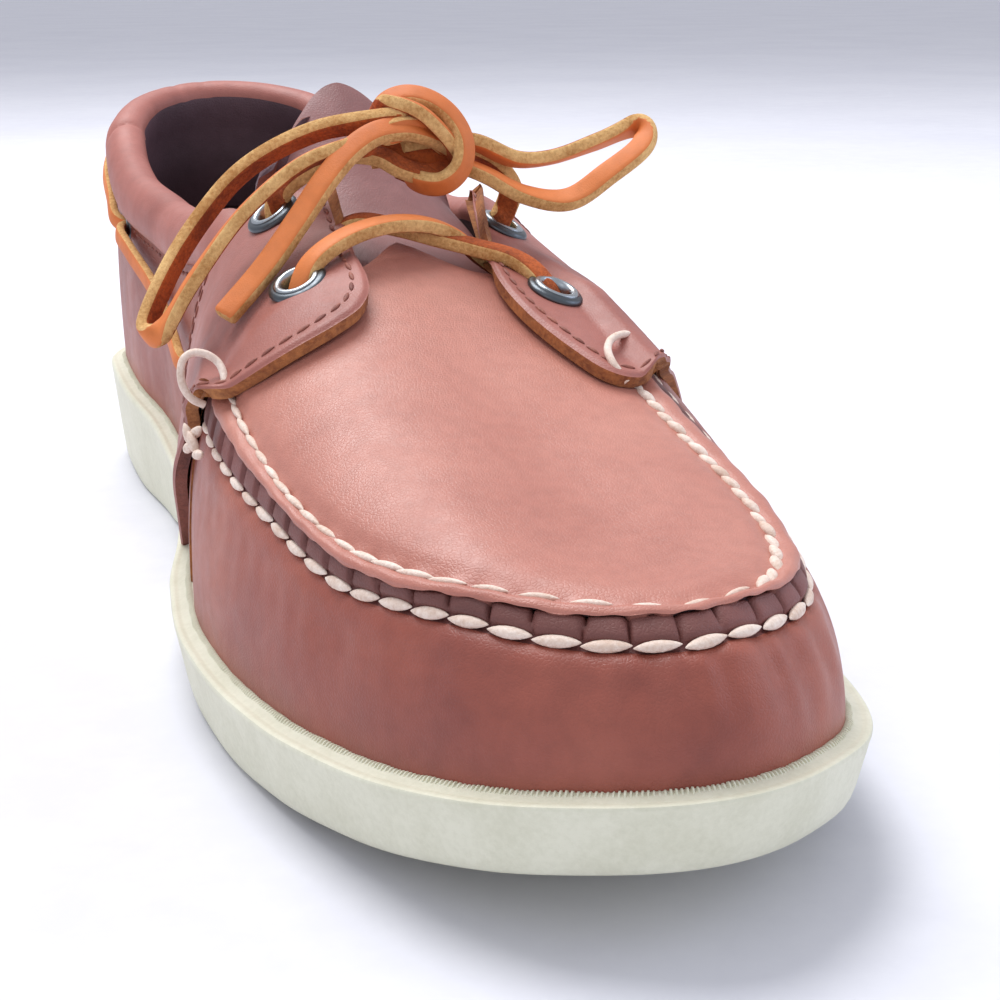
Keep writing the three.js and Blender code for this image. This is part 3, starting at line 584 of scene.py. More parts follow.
def leather(name, light, middle, dark, roughness, grain=0.35, pebble=900.0, crease=0.25):
    """Oiled full-grain leather: pebbled, faintly creased and cloudy. pebble counts cells in a metre."""
    made, tree, shader = material(name)
    place = (add_node(tree, "ShaderNodeTexCoord"), "Object")
    clouds = noise(tree, place, 28.0, 4.0, 0.55)
    tone = ramp(tree, (clouds, 0), [(0.3, linear(dark)), (0.5, linear(middle)), (0.72, linear(light))])
    fleck = ramp(tree, (noise(tree, place, 420.0, 3.0, 0.6), 0), [(0.35, 0.86), (0.62, 1.0)])
    mixed = add_node(tree, "ShaderNodeMix", {0: 0.6, 6: (tone, 0), 7: (fleck, 0)},
                     data_type="RGBA", blend_type="MULTIPLY")
    cells = add_node(tree, "ShaderNodeTexVoronoi", {"Vector": place, "Scale": pebble}, feature="DISTANCE_TO_EDGE")
    pore = ramp(tree, (cells, 0), [(0.0, 0.0), (0.22, 1.0)])
    wrinkle = noise(tree, place, 130.0, 5.0, 0.62, Distortion=0.6)
    relief = add_node(tree, "ShaderNodeMix", {0: crease, 2: (pore, 0), 3: (wrinkle, 0)}, data_type="FLOAT")
    bump = add_node(tree, "ShaderNodeBump", {"Strength": grain, "Distance": 0.22 * MM, "Height": (relief, 0)})
    gloss = ramp(tree, (wrinkle, 0), [(0.3, roughness - 0.05), (0.7, roughness + 0.09)])
    tree.links.new(mixed.outputs[2], shader.inputs["Base Color"])
    tree.links.new(gloss.outputs[0], shader.inputs["Roughness"])
    tree.links.new(bump.outputs[0], shader.inputs["Normal"])
    shader.inputs["IOR"].default_value = 1.48
    return made


def fibrous(name, light, dark, roughness=0.85, scale=900.0, depth=0.0004):
    """Cut or split hide, rubber or felt: matt, with a short nap of its own."""
    made, tree, shader = material(name)
    place = (add_node(tree, "ShaderNodeTexCoord"), "Object")
    nap, broad = noise(tree, place, scale, 4.0, 0.7), noise(tree, place, scale / 9, 3.0)
    blend = add_node(tree, "ShaderNodeMix", {0: 0.5, 2: (nap, 0), 3: (broad, 0)}, data_type="FLOAT")
    tone = ramp(tree, (blend, 0), [(0.38, linear(dark)), (0.6, linear(light))])
    bump = add_node(tree, "ShaderNodeBump", {"Strength": 0.7, "Distance": depth, "Height": (nap, 0)})
    tree.links.new(tone.outputs[0], shader.inputs["Base Color"])
    tree.links.new(bump.outputs[0], shader.inputs["Normal"])
    shader.inputs["Roughness"].default_value = roughness
    return made


def plated(name, colour, scale, polished, dulled):
    """Plated metal, more polished in some places than in others, as handling leaves it."""
    made, tree, shader = material(name)
    place = (add_node(tree, "ShaderNodeTexCoord"), "Object")
    gloss = ramp(tree, (noise(tree, place, scale, 3.0), 0), [(0.3, polished), (0.7, dulled)])
    tree.links.new(gloss.outputs[0], shader.inputs["Roughness"])
    shader.inputs["Base Color"].default_value = linear(colour)
    shader.inputs["Metallic"].default_value = 1.0
    return made


# %% [markdown]
# Each hide has a light, a middle and a dark tone, then its roughness, how deep its grain is, how many pebbles it
# has in a metre and how much of its relief is creases. 1700 pebbles in a metre are 0.6 mm each.

# %% The shoe's own finishes
# warm red-brown walls, with a satin gloss that catches each crease
upper_leather = leather("oiled full-grain leather", "#AB614E", "#9A5142", "#85443A", 0.42, 0.28, 1700.0, 0.5)
# the plug: painted lighter and rosier than the walls, a painted highlight for the light that falls on it from
# above
plug_leather_painted_highlight = leather("oiled plug leather, painted highlight", "#C78676", "#BC7A6B", "#AE6C5E", 0.4, 0.26, 1700.0, 0.45)
# thicker and a little duller than the plug, so that the flaps stand out from it
saddle_leather = leather("oiled saddle leather", "#B07066", "#A16156", "#8C5048", 0.45, 0.25, 1700.0, 0.5)
# the pleats: painted darker, painted shade for the shade they lie in
pleat_leather_painted_shade = leather("gathered leather, painted shade", "#84504C", "#74453F", "#5F3834", 0.55, 0.4, 1700.0, 0.6)
# soft and slightly matt, for the padded roll
collar_leather = leather("soft collar leather", "#B67368", "#A8655A", "#945349", 0.48, 0.3, 1700.0, 0.6)
# greyer and duller: painted shade, since little light reaches the throat
tongue_leather = leather("soft tongue leather, painted shade", "#A87B78", "#976866", "#835755", 0.5, 0.3, 1700.0, 0.6)
# painted dark plum, painted shade for the inside of the shoe, so the opening reads as deep
lining_leather_painted_shade = leather("lining leather, painted shade", "#6C5058", "#5B424A", "#49343B", 0.6, 0.35, 1500.0)
# worn brown under the foot
sock_leather = leather("footbed leather", "#7D5A4A", "#6D4C40", "#5B3F37", 0.65)
# the tan inside of the hide, seen wherever a thick panel is cut
raw_edge = fibrous("raw cut edge", "#B87A48", "#7E4A2E")
# the same cut, dyed to match, where it shouldn't catch the eye
dark_edge = fibrous("dyed cut edge", "#8A5246", "#623A34")
# thick off-white thread, the brightest line on the shoe after the sole
waxed_thread = fibrous("waxed white thread", "#F4E3D6", "#D8BCA9", 0.6, 1600.0, 0.0002)
# thin thread that sinks into the leather's own colour
tone_thread = fibrous("dyed thread", "#A0604F", "#743F36", 0.6, 1600.0, 0.0002)
# cool pale cream, nearly smooth
sole_rubber = fibrous("pale moulded rubber", "#E2E1CC", "#D6D5BE", 0.5, 900.0, 0.00008)
# the lace: bright orange on its grain, straw and furry on its edges, and burnt orange on its back, partly the
# suede's own colour and partly painted shade
rawhide_grain = leather("rawhide grain", "#E8894A", "#DC7B3C", "#C8692E", 0.6, 0.3, 2100.0, 0.7)
rawhide_back_painted_shade = fibrous("rawhide suede side, painted shade", "#C4612C", "#833A19", 0.95, 1500.0, 0.0007)
rawhide_flesh = fibrous("rawhide split side", "#F0C382", "#BE874C", 0.95, 1500.0, 0.0007)
# a bright inner lip and a flange painted darker as painted shade, so each eyelet reads as a rolled ring
metal = plated("satin nickel plate", "#A9AFB4", 700.0, 0.22, 0.38)
eyelet_flange_painted_shade = plated("nickel plate, painted shade", "#5C6166", 900.0, 0.28, 0.45)
print(len(bpy.data.materials), "finishes")

# %% [markdown]
# ## The lace
#
# One square-cut rawhide thong, 4.3 mm wide. It crosses the throat, ties in a bow over it, and its other runs pass
# along the quarters and round the heel through the small eyelets.

# %% Lace tools
lace_width, lace_thickness = 4.3, 2.6
rawhide = [rawhide_grain, rawhide_flesh, rawhide_back_painted_shade]


def side_turn(side, y, climb, depth=0.0):
    """The turn on one side where the surface reaches y at that climb."""
    before = lambda turn: form(side * turn, climb, depth)[..., 1] < y
    return side * bisected(np.full(np.shape(y), 0.05), np.full(np.shape(y), 3.1), 16, before)


def plan_place(x, y, depth=0.0):
    """The turn and climb of the surface over a point of the plan."""
    x, y = np.broadcast_arrays(np.asarray(x, float), np.asarray(y, float))
    side = np.where(x < ridge_line(y), -1.0, 1.0)
    outside = lambda climb: (form(side_turn(side, y, climb, depth), climb, depth)[..., 0] - x) * side > 0
    climb = bisected(np.full(x.shape, 0.2), np.ones(x.shape), 13, outside)
    return side_turn(side, y, climb, depth), climb


def lifted(points):
    """Places of the plan in millimetres, with a height over the leather."""
    points = np.asarray(points, float)
    over = form(*plan_place(points[:, 0], points[:, 1]))
    return np.stack([points[:, 0], points[:, 1], over[:, 2] + points[:, 2]], -1)


knot_foot = float(form(*plan_place(-0.03 * sole_width, -0.073 * sole_length))[2])


def over_knot(points):
    """Shares of the sole's width and length from its middle, raised from the surface under the knot."""
    return np.asarray(points, float) * [sole_width, sole_length, 1] + [0, 0, knot_foot]


def thong(name, points, facing, replaces=(), count=70, flip=False, width=lace_width, thickness=lace_thickness):
    """A length of lace whose grain side looks towards facing, one direction for each point."""
    facing = np.broadcast_to(np.asarray(facing, float), np.shape(points))
    path = rounded_path(np.hstack([points, facing]), count)
    middle, facing = path[:, :3], path[:, 3:]
    piece = swept(name, middle, facing, strap_section(width, thickness))
    applied(piece, "SUBSURF", levels=1, render_levels=1)
    _, upward, _ = frames_along(middle, facing)
    centres = np.array([f.center for f in piece.data.polygons]) / MM
    normals = np.array([f.normal for f in piece.data.polygons])
    nearest = np.argmin(((centres[:, None] - middle[None]) ** 2).sum(-1), axis=1)
    rise = (normals * upward[nearest]).sum(1) * (-1 if flip else 1)
    finished(piece, rawhide, replaces)
    # faces on the lace's back take the burnt orange, partly the suede's own colour and partly painted shade
    faces = np.where(rise > 0.6, 0, np.where(rise < -0.6, 2, 1)).astype(np.int32)
    piece.data.polygons.foreach_set("material_index", faces)
    return piece, middle


print("surface under the knot", round(knot_foot, 1), "mm")

# %% [markdown]
# The loops stand on edge, so the grain faces away from each loop's middle. A path through a dozen places, drawn
# over the photograph, gives each run its droop.

# %% The bow's loops and cut end
loop_medial = over_knot([
    (-0.066, -0.08, 19.1), (-0.179, -0.0667, 17.2), (-0.298, -0.06, 11), (-0.38, -0.0617, 2.4),
    (-0.442, -0.07, -6.1),
    (-0.486, -0.0817, -14.6), (-0.471, -0.0933, -14.6), (-0.409, -0.095, -5.5), (-0.317, -0.09, 5.2),
    (-0.207, -0.0867, 13), (-0.108, -0.0885, 15.4),
])
loop_middle = np.linspace(loop_medial[0], (loop_medial[5] + loop_medial[6]) / 2, 6)
loop_middle = np.vstack([loop_middle, loop_middle[-2::-1]]) + [0, -3.5, -3]
loop_middle[5] = loop_middle[4]
loop_facing = loop_medial - loop_middle
into_knot, out_of_knot = [(4, -20.5, 91), (-1, -21.5, 94)], [(-5, -25.5, 91.8), (1, -23.5, 90.5), (5, -21, 88)]
loop_medial = np.vstack([into_knot, loop_medial, out_of_knot])
loop_facing = np.vstack([[(0, 0, 5), (0, 0, 5)], loop_facing, [(0, -4, -1), (0, -4, -1), (0, -4, -1)]])
piece, middle = thong("lace_loop_medial_rawhide", loop_medial, loop_facing, ["lace_loop_medial"], count=100)

loop_lateral = over_knot([
    (0.087, -0.0727, 14.6), (0.165, -0.0733, 11.2), (0.231, -0.0717, 11.2), (0.317, -0.0717, 13.6),
    (0.399, -0.075, 16.4),
    (0.385, -0.09, 13.6), (0.308, -0.0967, 8.6), (0.237, -0.095, 4.4), (0.163, -0.0883, 5.5), (0.101, -0.0827, 9),
])
loop_lateral = np.vstack([[(2, -21, 89)], loop_lateral, [(5, -23, 85.5)]])
inwards = [(0, -0.3, -1), (0, -0.3, -1), (0, -0.3, -1), (0, -0.3, -1), (-0.2, -0.4, -0.9), (-1, -0.2, -0.3),
           (-0.5, -0.5, 0.9),
           (-0.2, -0.7, 1), (0.1, -0.7, 1), (0.6, -0.5, 0.8), (0.8, -0.4, 0.5), (0.8, -0.4, 0.5)]
piece, middle = thong("lace_loop_lateral_rawhide", loop_lateral, inwards, ["lace_loop_lateral"], count=90)

cut_end = [(8.4, -20, 86.2), (3.8, -22.5, 89), (-0.7, -24.5, 90.9), (-5.3, -26, 91.8), (-10.2, -27, 91.2),
           (-14.8, -28, 88.7),
           (-19.6, -29.5, 84.3), (-24.9, -31, 78), (-31.6, -33.5, 70.6), (-39.7, -36.5, 63.3)]
piece, middle = thong("lace_end_rawhide", cut_end, (-0.45, -0.65, 0.6), ["lace_end"], count=60)

# %% [markdown]
# ## Knot and crossings
#
# The two ends come up through the rear eyelets, cross, and are held by one turn of the lace. In front of them the
# lace crosses once more between the front eyelets, and dives under the opposite flap.

# %% Knot and crossings
strand_medial = [(-23.2, -10.8, 72), (-24.4, -11.8, 76.5), (-23.5, -13, 80.5), (-19, -16, 84.5),
                 (-13, -19.5, 87.2), (-8, -22.6, 86.8),
                 (-4.5, -24.6, 84.8), (0.5, -24.8, 83.6), (5.2, -22, 84.4), (8, -19, 86)]
strand_lateral = [(14.4, -15.8, 69), (16.4, -15.6, 73.6), (17.8, -15.8, 76.4), (18.2, -17, 79.4),
                  (16.6, -18, 82.4), (13.2, -18.6, 85.4),
                  (8, -19, 87.6), (2, -19.6, 88.6), (-4, -20.4, 88.2)]
wrap_turn = np.array([(-7.4, -19.5, 92.6), (-6.4, -20.4, 95.6), (-3.2, -21.6, 97), (0.8, -23, 96.2),
                      (4.2, -24.8, 93.4), (5.8, -26.8, 89.2),
                      (4.8, -28, 85), (1.4, -28, 82.4), (-2, -25.6, 82.6), (-3.4, -22, 84.4), (-2, -18, 86)])
inner_turn = np.array([(-8.4, -20, 92), (-6.4, -22.6, 95.6), (-2.2, -25, 94.8), (1.6, -26, 91.6),
                       (4.4, -25, 88.4), (5.6, -22, 86.2)])
back_turn = np.array([(-4, -19, 84.5), (2, -20.6, 82.4), (6.6, -20.2, 85), (7.6, -18.8, 90), (4.4, -18, 94.6),
                      (-1, -17.6, 95.2), (-5, -18, 92)])
thong("knot_strand_medial", strand_medial, (0.2, -0.6, 1), ["lace_knot"], flip=True)
thong("knot_strand_lateral", strand_lateral, (0.5, 0.2, 1))
thong("knot_wrap", wrap_turn, (wrap_turn - wrap_turn.mean(0)) * 0.12 + [0.1, -0.75, 0.05])
thong("knot_inner_turn", inner_turn, (0.75, -0.25, 0.6))
thong("knot_core", [(-9, -19, 87.4), (-3, -20.2, 87.8), (3, -20.4, 87),
                    (9, -19.4, 86)], (0, -1, 0.4), flip=True, width=6)
thong("knot_back_turn", back_turn, (back_turn - back_turn.mean(0)) * 0.12 + [0, -0.4, 0], flip=True)

bar_medial = lifted([(-28.2, -39.8, -3), (-27.4, -39.5, 1), (-25.4, -39.1, 4.8), (-20, -38, 6.4),
                     (-12, -35.8, 6.8), (-4, -33.6, 6.4),
                     (2, -32, 4.4), (7, -30.8, 0.8), (12, -29.5, -1.6)])
bar_lateral = lifted([(15.8, -46.2, -3), (15.2, -45.6, 1), (13.4, -43, 4.6), (10.5, -39.6, 5.4), (5, -35.6, 4.4),
                      (-1, -32.2, 3.6),
                     (-7, -29, 3.4), (-13.5, -25.6, 2.6), (-17.5, -23.4, 0.2), (-21, -21.5, -2)])
thong("lace_bar_medial", bar_medial, (0, -0.15, 1), ["lace_crossing"])
thong("lace_bar_lateral", bar_lateral, (0, -0.15, 1), flip=True)

# %% [markdown]
# The rest of the lace can't be seen in the photograph, or only just. It runs from each front side eyelet back
# along the quarter, through the rear one, and round the heel in one piece. It is a little thinner there, because
# it lies flat and taut.


# %% Laces along the quarters and round the heel
def beside(side, rows):
    """Places beside the quarter: along is a share of the sole's length and height of the heel's."""
    rows = np.asarray(rows, float)
    y, z = sole_length * (rows[:, 0] - 0.5), rows[:, 1] * heel_height
    before = lambda turn: form(side * turn, climb_to(side * turn, z))[:, 1] < y
    turn = side * bisected(np.full(len(rows), 0.05), np.full(len(rows), 3.1), 18, before)
    climb = climb_to(turn, z)
    return turn, climb, on_leather(turn, climb, rows[:, 2]), outward(turn, climb)


side_rows = [(0.577, 0.474, -2), (0.58, 0.477, 1.2), (0.588, 0.484, 2.6), (0.62, 0.517, 2.7), (0.697, 0.591, 2.4),
             (0.767, 0.653, 2.7), (0.802, 0.684, 2.6), (0.811, 0.692, 1.2), (0.815, 0.695, -2)]
heel_rows = [(0.814, 0.694, -2), (0.819, 0.7, 1.2), (0.826, 0.712, 2.6), (0.853, 0.756, 2.6), (0.893, 0.813, 2.6),
             (0.933, 0.852, 2.6), (0.96, 0.869, 2.7)]
taut_width, taut_thickness = 3.8, 2.2
heel_ends = []
for side, name in ((-1, "medial"), (1, "lateral")):
    _, _, points, facing = beside(side, side_rows)
    thong(f"side_lace_{name}_rawhide", points, facing, [f"side_lace_{name}"], width=taut_width,
          thickness=taut_thickness)
    heel_ends.append(beside(side, heel_rows)[2:])
(medial_points, medial_facing), (lateral_points, lateral_facing) = heel_ends
back = form(np.pi, climb_to(np.pi, 0.881 * heel_height)) + [0, 2.6, 0]
points = np.vstack([medial_points, [back], lateral_points[::-1]])
facing = np.vstack([medial_facing, [(0, 1, 0)], lateral_facing[::-1]])
thong("heel_lace_rawhide", points, facing, ["heel_lace"], count=110, width=taut_width, thickness=taut_thickness)

# %% [markdown]
# ## The outsole
#
# Pale rubber: a flat ledge round the upper with a row of fine teeth in the joint, a side wall that tapers to the
# tread, and cross-cut wavy grooves below. The rim is one profile carried round the outline. The tread is a plate
# of its own, fine enough for its grooves.


# %% The sole's rim
def spread(turn, inset, share, extra, inwards):
    """A place of the sole: in from its outline, at a share of its thickness, then on towards its middle."""
    edge = outline(turn, inset)
    spine = np.stack([np.full(np.shape(turn), tip_x), -0.37 * sole_length * np.cos(turn)], -1)
    flat = edge + (spine - edge) * inwards[..., None]
    low, high = sole_bottom(flat[..., 1]), sole_top(flat[..., 1])
    return np.concatenate([flat, (low + share * (high - low) + extra)[..., None]], -1)


# inset, share of the thickness, extra mm, share of the way to the middle
rim_profile = np.array([
    (5, 0, 2.2, 1), (5, 0, 2.2, 0), (4.2, 0, 2.2, 0), (4.1, 0, 0.3, 0), (3.7, 0, 0, 0), (3, 0, 0.15, 0),
    (2.5, 0, 0.6, 0), (2.2, 0.02, 1, 0),
    (2, 0.1, 0.6, 0), (1.5, 0.3, 0.2, 0), (0.9, 0.55, 0.4, 0), (0.4, 0.75, 0.6, 0), (0.1, 0.87, 0.8, 0),
    (-0.1, 0.93, 0.9, 0),
    (-0.15, 0.96, 1, 0), (0, 0.985, 1.1, 0), (0.35, 1, 1.1, 0), (0.8, 1, 1.15, 0), (1.1, 1, 1.1, 0),
    (1.5, 1, 1.15, 0),
    (2.4, 1, 1.5, 0), (3.6, 1, 1.9, 0), (5, 1, 1.9, 0), (5, 1, 1.8, 1),
])
rim_levels = len(rim_profile) - 1


def rim_place(u, v):
    row = rim_profile[np.rint(v * rim_levels).astype(int)]
    return spread(2 * np.pi * u - np.pi, row[:, 0], row[:, 1], row[:, 2], row[:, 3])


outsole = panel("outsole_rim", 420, rim_levels, rim_place)
merged(outsole)
finished(outsole, [sole_rubber], ["outsole"], angle=40)

# %% [markdown]
# Where leather meets rubber the sole has a serrated edge, like the milling of a coin. It is a thin band laid in
# the joint, with its teeth at even steps along the edge and each a little different in height.

# %% Teeth in the joint
teeth = 900
rim_turns = np.linspace(-np.pi, np.pi, 4001)
rim_run = run_along(rim(rim_turns))


def teeth_place(u, v):
    bite = smooth(0.5 + 0.5 * np.cos(2 * np.pi * teeth * u), 0.1, 0.8)
    turn = np.interp(u * rim_run[-1], rim_run, rim_turns)
    uneven = 0.8 + 0.2 * np.sin(91 * turn) * np.sin(37 * turn + 1)
    height = np.sin(np.pi * v) ** 0.7 * (0.2 + 0.55 * bite) * uneven
    inset = 2.6 + 1.5 * v - 0.3 * bite * uneven
    return spread(turn, inset, np.ones_like(u), height + 1.2 + 0.6 * v, np.zeros_like(u))


joint_teeth = panel("joint_teeth", teeth * 6, 5, teeth_place)
merged(joint_teeth)
finished(joint_teeth, [sole_rubber])

# %% [markdown]
# The tread is hidden in the photograph. It has what such soles are known for: wavy grooves across the forefoot
# and heel, with fine sipes between them that close flat on a wet deck. They are pressed into the plate by its
# heights, so no cutter is needed.

# %% The tread plate
groove_places = np.concatenate([np.linspace(0.1, 0.43, 9), np.linspace(0.74, 0.93, 5)])
tread_inset, tread_clear = 4.1, 8.3
half_turn = np.linspace(0.001, np.pi - 0.001, 900)
tread_edge = {side: outline(side * half_turn, tread_inset) for side in (-1, 1)}


def tread_place(u, v):
    # rows of the grid crowd towards toe and heel, where the outline turns
    y = (0.5 - 0.5 * np.cos(np.pi * (0.12 + 0.76 * v)) / np.cos(0.12 * np.pi) - 0.5) * (sole_length - tread_clear)
    along = y / sole_length + 0.5
    medial_x, lateral_x = (np.interp(y, tread_edge[side][:, 1], tread_edge[side][:, 0]) for side in (-1, 1))
    x = np.where(u < 0.5, tip_x + (medial_x - tip_x) * (1 - 2 * u), tip_x + (lateral_x - tip_x) * (2 * u - 1))
    wave = 2 * (2 * np.abs(((x / (sole_width * 1.1) + 0.5) * 2) % 1 - 0.5) * 2 - 1)
    distance = np.abs(y[:, None] - (sole_length * (groove_places - 0.5))[None] - wave[:, None]).min(1)
    fine = np.abs(((y - wave) % 3.4) - 1.7)
    lug = (along > 0.06) & (along < 0.47) | (along > 0.7) & (along < 0.96)
    deep = 1.6 * (1 - smooth(distance, 0.5, 1.1)) + np.where(lug, 0.5 * (1 - smooth(fine, 0.15, 0.4)), 0)
    return np.stack([x, y, sole_bottom(y) + deep], -1)


tread = panel("tread_plate", 44, 700, tread_place)
flipped(tread)
walled(tread, 2.6, [sole_rubber], 0, 0)
finished(tread)

# %% [markdown]
# ## The sock
#
# The footbed inside is a cupped leather sock that meets the wall all round.


# %% Sock
def sock_place(u, v):
    turn = 2 * np.pi * u - np.pi
    lift = 3.3 + 3.2 * smooth(1 - v, 0.82, 1) ** 2
    return spread(turn, np.full_like(u, ledge + upper_wall + 0.3), np.ones_like(u), lift, v)


sock = panel("sock", 240, 40, sock_place)
merged(sock)
flipped(sock)
finished(sock, [sock_leather], ["insole"])

# %% [markdown]
# ## The moccasin seam
#
# The plug is laid over the gathered edge of the wall and sewn down twice. Outside, a row of thick waxed stitches
# pulls the wall into small pleats. Inside, a second row runs along the foot of the plug's raised lip. Both rows
# and the lip's edge are given as climbs on the last for each turn.

# %% The seam's three lines
# turn, outer stitches, lip's edge, inner stitches
seam_rows = [
    (-1.5, 0.31, 0.385, 0.45), (-1.36, 0.317, 0.39, 0.452), (-1.14, 0.338, 0.4, 0.441),
    (-0.98, 0.354, 0.405, 0.434),
    (-0.82, 0.352, 0.402, 0.438), (-0.68, 0.393, 0.43, 0.475), (-0.52, 0.444, 0.497, 0.54),
    (-0.32, 0.473, 0.542, 0.6),
    (-0.08, 0.512, 0.598, 0.648), (0.1, 0.517, 0.6, 0.64), (0.24, 0.479, 0.56, 0.6), (0.4, 0.425, 0.5, 0.545),
    (0.53, 0.4, 0.47, 0.54), (0.72, 0.43, 0.5, 0.575), (0.87, 0.46, 0.54, 0.617), (0.97, 0.49, 0.57, 0.637),
    (1.1, 0.52, 0.6, 0.67), (1.4, 0.58, 0.65, 0.72),
]
outer_at, edge_at, inner_at = columns(seam_rows)
stitch_pitch = 6.2
seam_turns = np.linspace(-1.5, 1.45, 3000)
seam_line = form(seam_turns, outer_at(seam_turns))
seam_run = run_along(seam_line)
stitch_count = round(seam_run[-1] / stitch_pitch)
print(stitch_count, "outer stitches over", round(seam_run[-1]), "mm")


def millimetres_per_climb(turn):
    edge = edge_at(turn)
    return np.linalg.norm(form(turn, edge + 0.02) - form(turn, edge - 0.02), axis=-1) / 0.04


def stitch_phase(turn):
    """How many stitches along the seam a turn lies."""
    return np.interp(turn, seam_turns, seam_run) / seam_run[-1] * stitch_count


# %% [markdown]
# The wall is the panel that everyone knows this shoe by. Between the two rows of stitches it gathers into small
# pleats, one to a stitch. Each pleat is a swelling between two creases, and its depth and lean vary by chance, as
# they do under the hand that sews them. Broad shallow folds run out from the gathers over the toe.

# %% The vamp's wall and its pleats
random = np.random.default_rng(7)
pleat_depth = 0.7 + 0.5 * random.random(stitch_count + 1)
pleat_lean = 0.16 * (random.random(stitch_count + 1) - 0.5)
# turn, depth and width of each broad fold
fold_rows = np.array([
    (-0.16, 0.6, 0.05), (-0.06, 0.4, 0.035), (0.04, 0.5, 0.04), (0.22, 0.9, 0.04), (0.31, 1, 0.035),
    (0.41, 0.8, 0.04),
    (-0.3, 0.45, 0.045), (-0.44, 0.4, 0.05), (-0.62, 0.5, 0.06), (-0.8, 0.35, 0.05), (0.55, 0.5, 0.05),
    (0.7, 0.5, 0.06),
])


def wall_lift(turn, above, band):
    """How far the wall stands off the last, above the outer stitches by so many mm. band is the pleats' height."""
    phase = stitch_phase(turn)
    joint = np.rint(phase).astype(int).clip(0, stitch_count)
    share = np.clip(above / band, 0, 1)
    nearness = np.abs(phase - joint - pleat_lean[joint] * share) * stitch_pitch
    in_band = smooth(above, 0.1, 1) * (1 - smooth(above, band + 0.5, band + 1.8))
    folded = smooth(-turn, 0.45, 0.8)
    pillow = 1 + 0.3 * folded * ((phase % 1) - 0.5)
    bump = (1.05 + 0.75 * share) * smooth(share, -0.1, 0.25) * pillow
    crease = pleat_depth[joint] * np.exp(-((nearness / 0.2) ** 2)) + 0.22 * np.exp(-((nearness / 0.7) ** 2))
    groove = -0.6 * np.exp(-((above / 0.9) ** 2)) * (1 - 0.5 * np.exp(-((nearness / 0.8) ** 2)))
    puff = 0.5 * np.exp(-(((above + 3) / 2.4) ** 2)) * (0.75 + 0.25 * np.cos(2 * np.pi * phase))
    gathers = -0.1 * np.exp(-(((above + 4) / 5) ** 2)) * np.cos(2 * np.pi * phase)
    folds = sum(depth * np.exp(-(((turn - at) / wide) ** 2)) for at, depth, wide in fold_rows)
    folds = -folds * np.exp(-(((above + 6) / 7) ** 2))
    under = -0.5 * smooth(above, band + 0.3, band + 1.8)
    return groove + puff + gathers + folds + under + in_band * (bump - crease)


def wall_place(u, v):
    turn = np.interp(u * seam_run[-1], seam_run, seam_turns)
    scale = millimetres_per_climb(turn)
    low, edge = outer_at(turn), edge_at(turn)
    band = (edge - low) * scale
    start = (-0.03 - low) * scale
    # the grid's rows are wide apart up to the seam, closer under the stitches and closest over the pleats
    above = np.select([v < 0.3, v < 0.5, v < 0.92], [
        start + (-8 - start) * v / 0.3,
        -8 + 6.8 * (v - 0.3) / 0.2,
        -1.2 + (band + 1.4) * (v - 0.5) / 0.42,
    ], band + 0.2 + 3.3 * (v - 0.92) / 0.08)
    lift = wall_lift(turn, above, band)
    joined = smooth(np.abs(turn), 1.3, 1.4)
    return on_leather(turn, low + above / scale, lift * (1 - joined) - 0.4 * joined)


vamp_wall = panel("vamp_wall", 720, 46, wall_place)
pleat_shade_painted_from = 0.54
# the faces over the pleats take the darker leather, painted shade
pleat_faces_painted_shade = face_shares(vamp_wall)[1] > pleat_shade_painted_from
vamp_wall.data.materials.append(upper_leather)
vamp_wall.data.materials.append(pleat_leather_painted_shade)
painted(vamp_wall, pleat_faces_painted_shade, 1)
walled(vamp_wall, 1.8, [lining_leather_painted_shade, lining_leather_painted_shade, raw_edge], 2, 4)
finished(vamp_wall, replaces=["upper"], angle=70)

# %% [markdown]
# The plug is a tongue-shaped panel laid over the gathered edge. Its rim stands up as a lip, falls to the inner
# stitches, and swells once more before it runs out flat. Its rim is cut by hand, so it is a little ragged.


# %% The plug
lip_profile = through([0, 0.4, 1.2, 2.2, 3.2, 4.4, 6.5, 12, 24, 70],
                      [2.1, 2.4, 2.5, 2.1, 1.2, 1.25, 1.5, 1.25, 0.8, 0.6])


def plug_lift(turn, inside):
    """How far the plug stands off the last, so many millimetres in from its edge."""
    stitches = np.maximum((inner_at(turn) - edge_at(turn)) * millimetres_per_climb(turn), 1.5)
    stretched = np.where(inside < stitches, inside * 3.2 / stitches, inside - stitches + 3.2)
    phase = stitch_phase(turn)
    dimple = 0.2 * np.exp(-(((inside - stitches) / 1.0) ** 2)) * np.cos(2 * np.pi * phase)
    uneven = 0.1 * np.sin(5.1 * phase + 1) + 0.1 * np.sin(2.3 * phase)
    return lip_profile(stretched) + dimple + uneven * np.exp(-((inside / 1.5) ** 2))


def plug_end(climb):
    """The turn at which the plug ends, under the saddles."""
    return np.where(climb > 0.867, 1.315 - 0.054 * (1 - climb) / 0.133, 1.261)


def plug_place(u, v):
    climb_share = v**1.7
    rough_climb = edge_at(1.2 * (2 * u - 1)) * (1 - climb_share) + climb_share
    turn = (2 * u - 1) * plug_end(rough_climb)
    scale = millimetres_per_climb(turn)
    edge = edge_at(turn)
    ragged = 0.09 * np.sin(stitch_phase(turn) * 3.3) + 0.07 * np.sin(stitch_phase(turn) * 7.9)
    climb = edge + (1 - edge) * climb_share + ragged / scale * (1 - climb_share) ** 30
    inside = (climb - edge) * scale
    lift = plug_lift(turn, inside) * (1 - climb_share**3) + 0.6 * climb_share**3
    climb = np.minimum(climb, 1)
    mirrored = 0.5 * smooth(climb, 0.8, 1)[:, None]
    upward = outward(turn, climb) * (1 - mirrored) + outward(-turn, climb) * mirrored
    return form(turn, climb) + upward * lift[:, None]


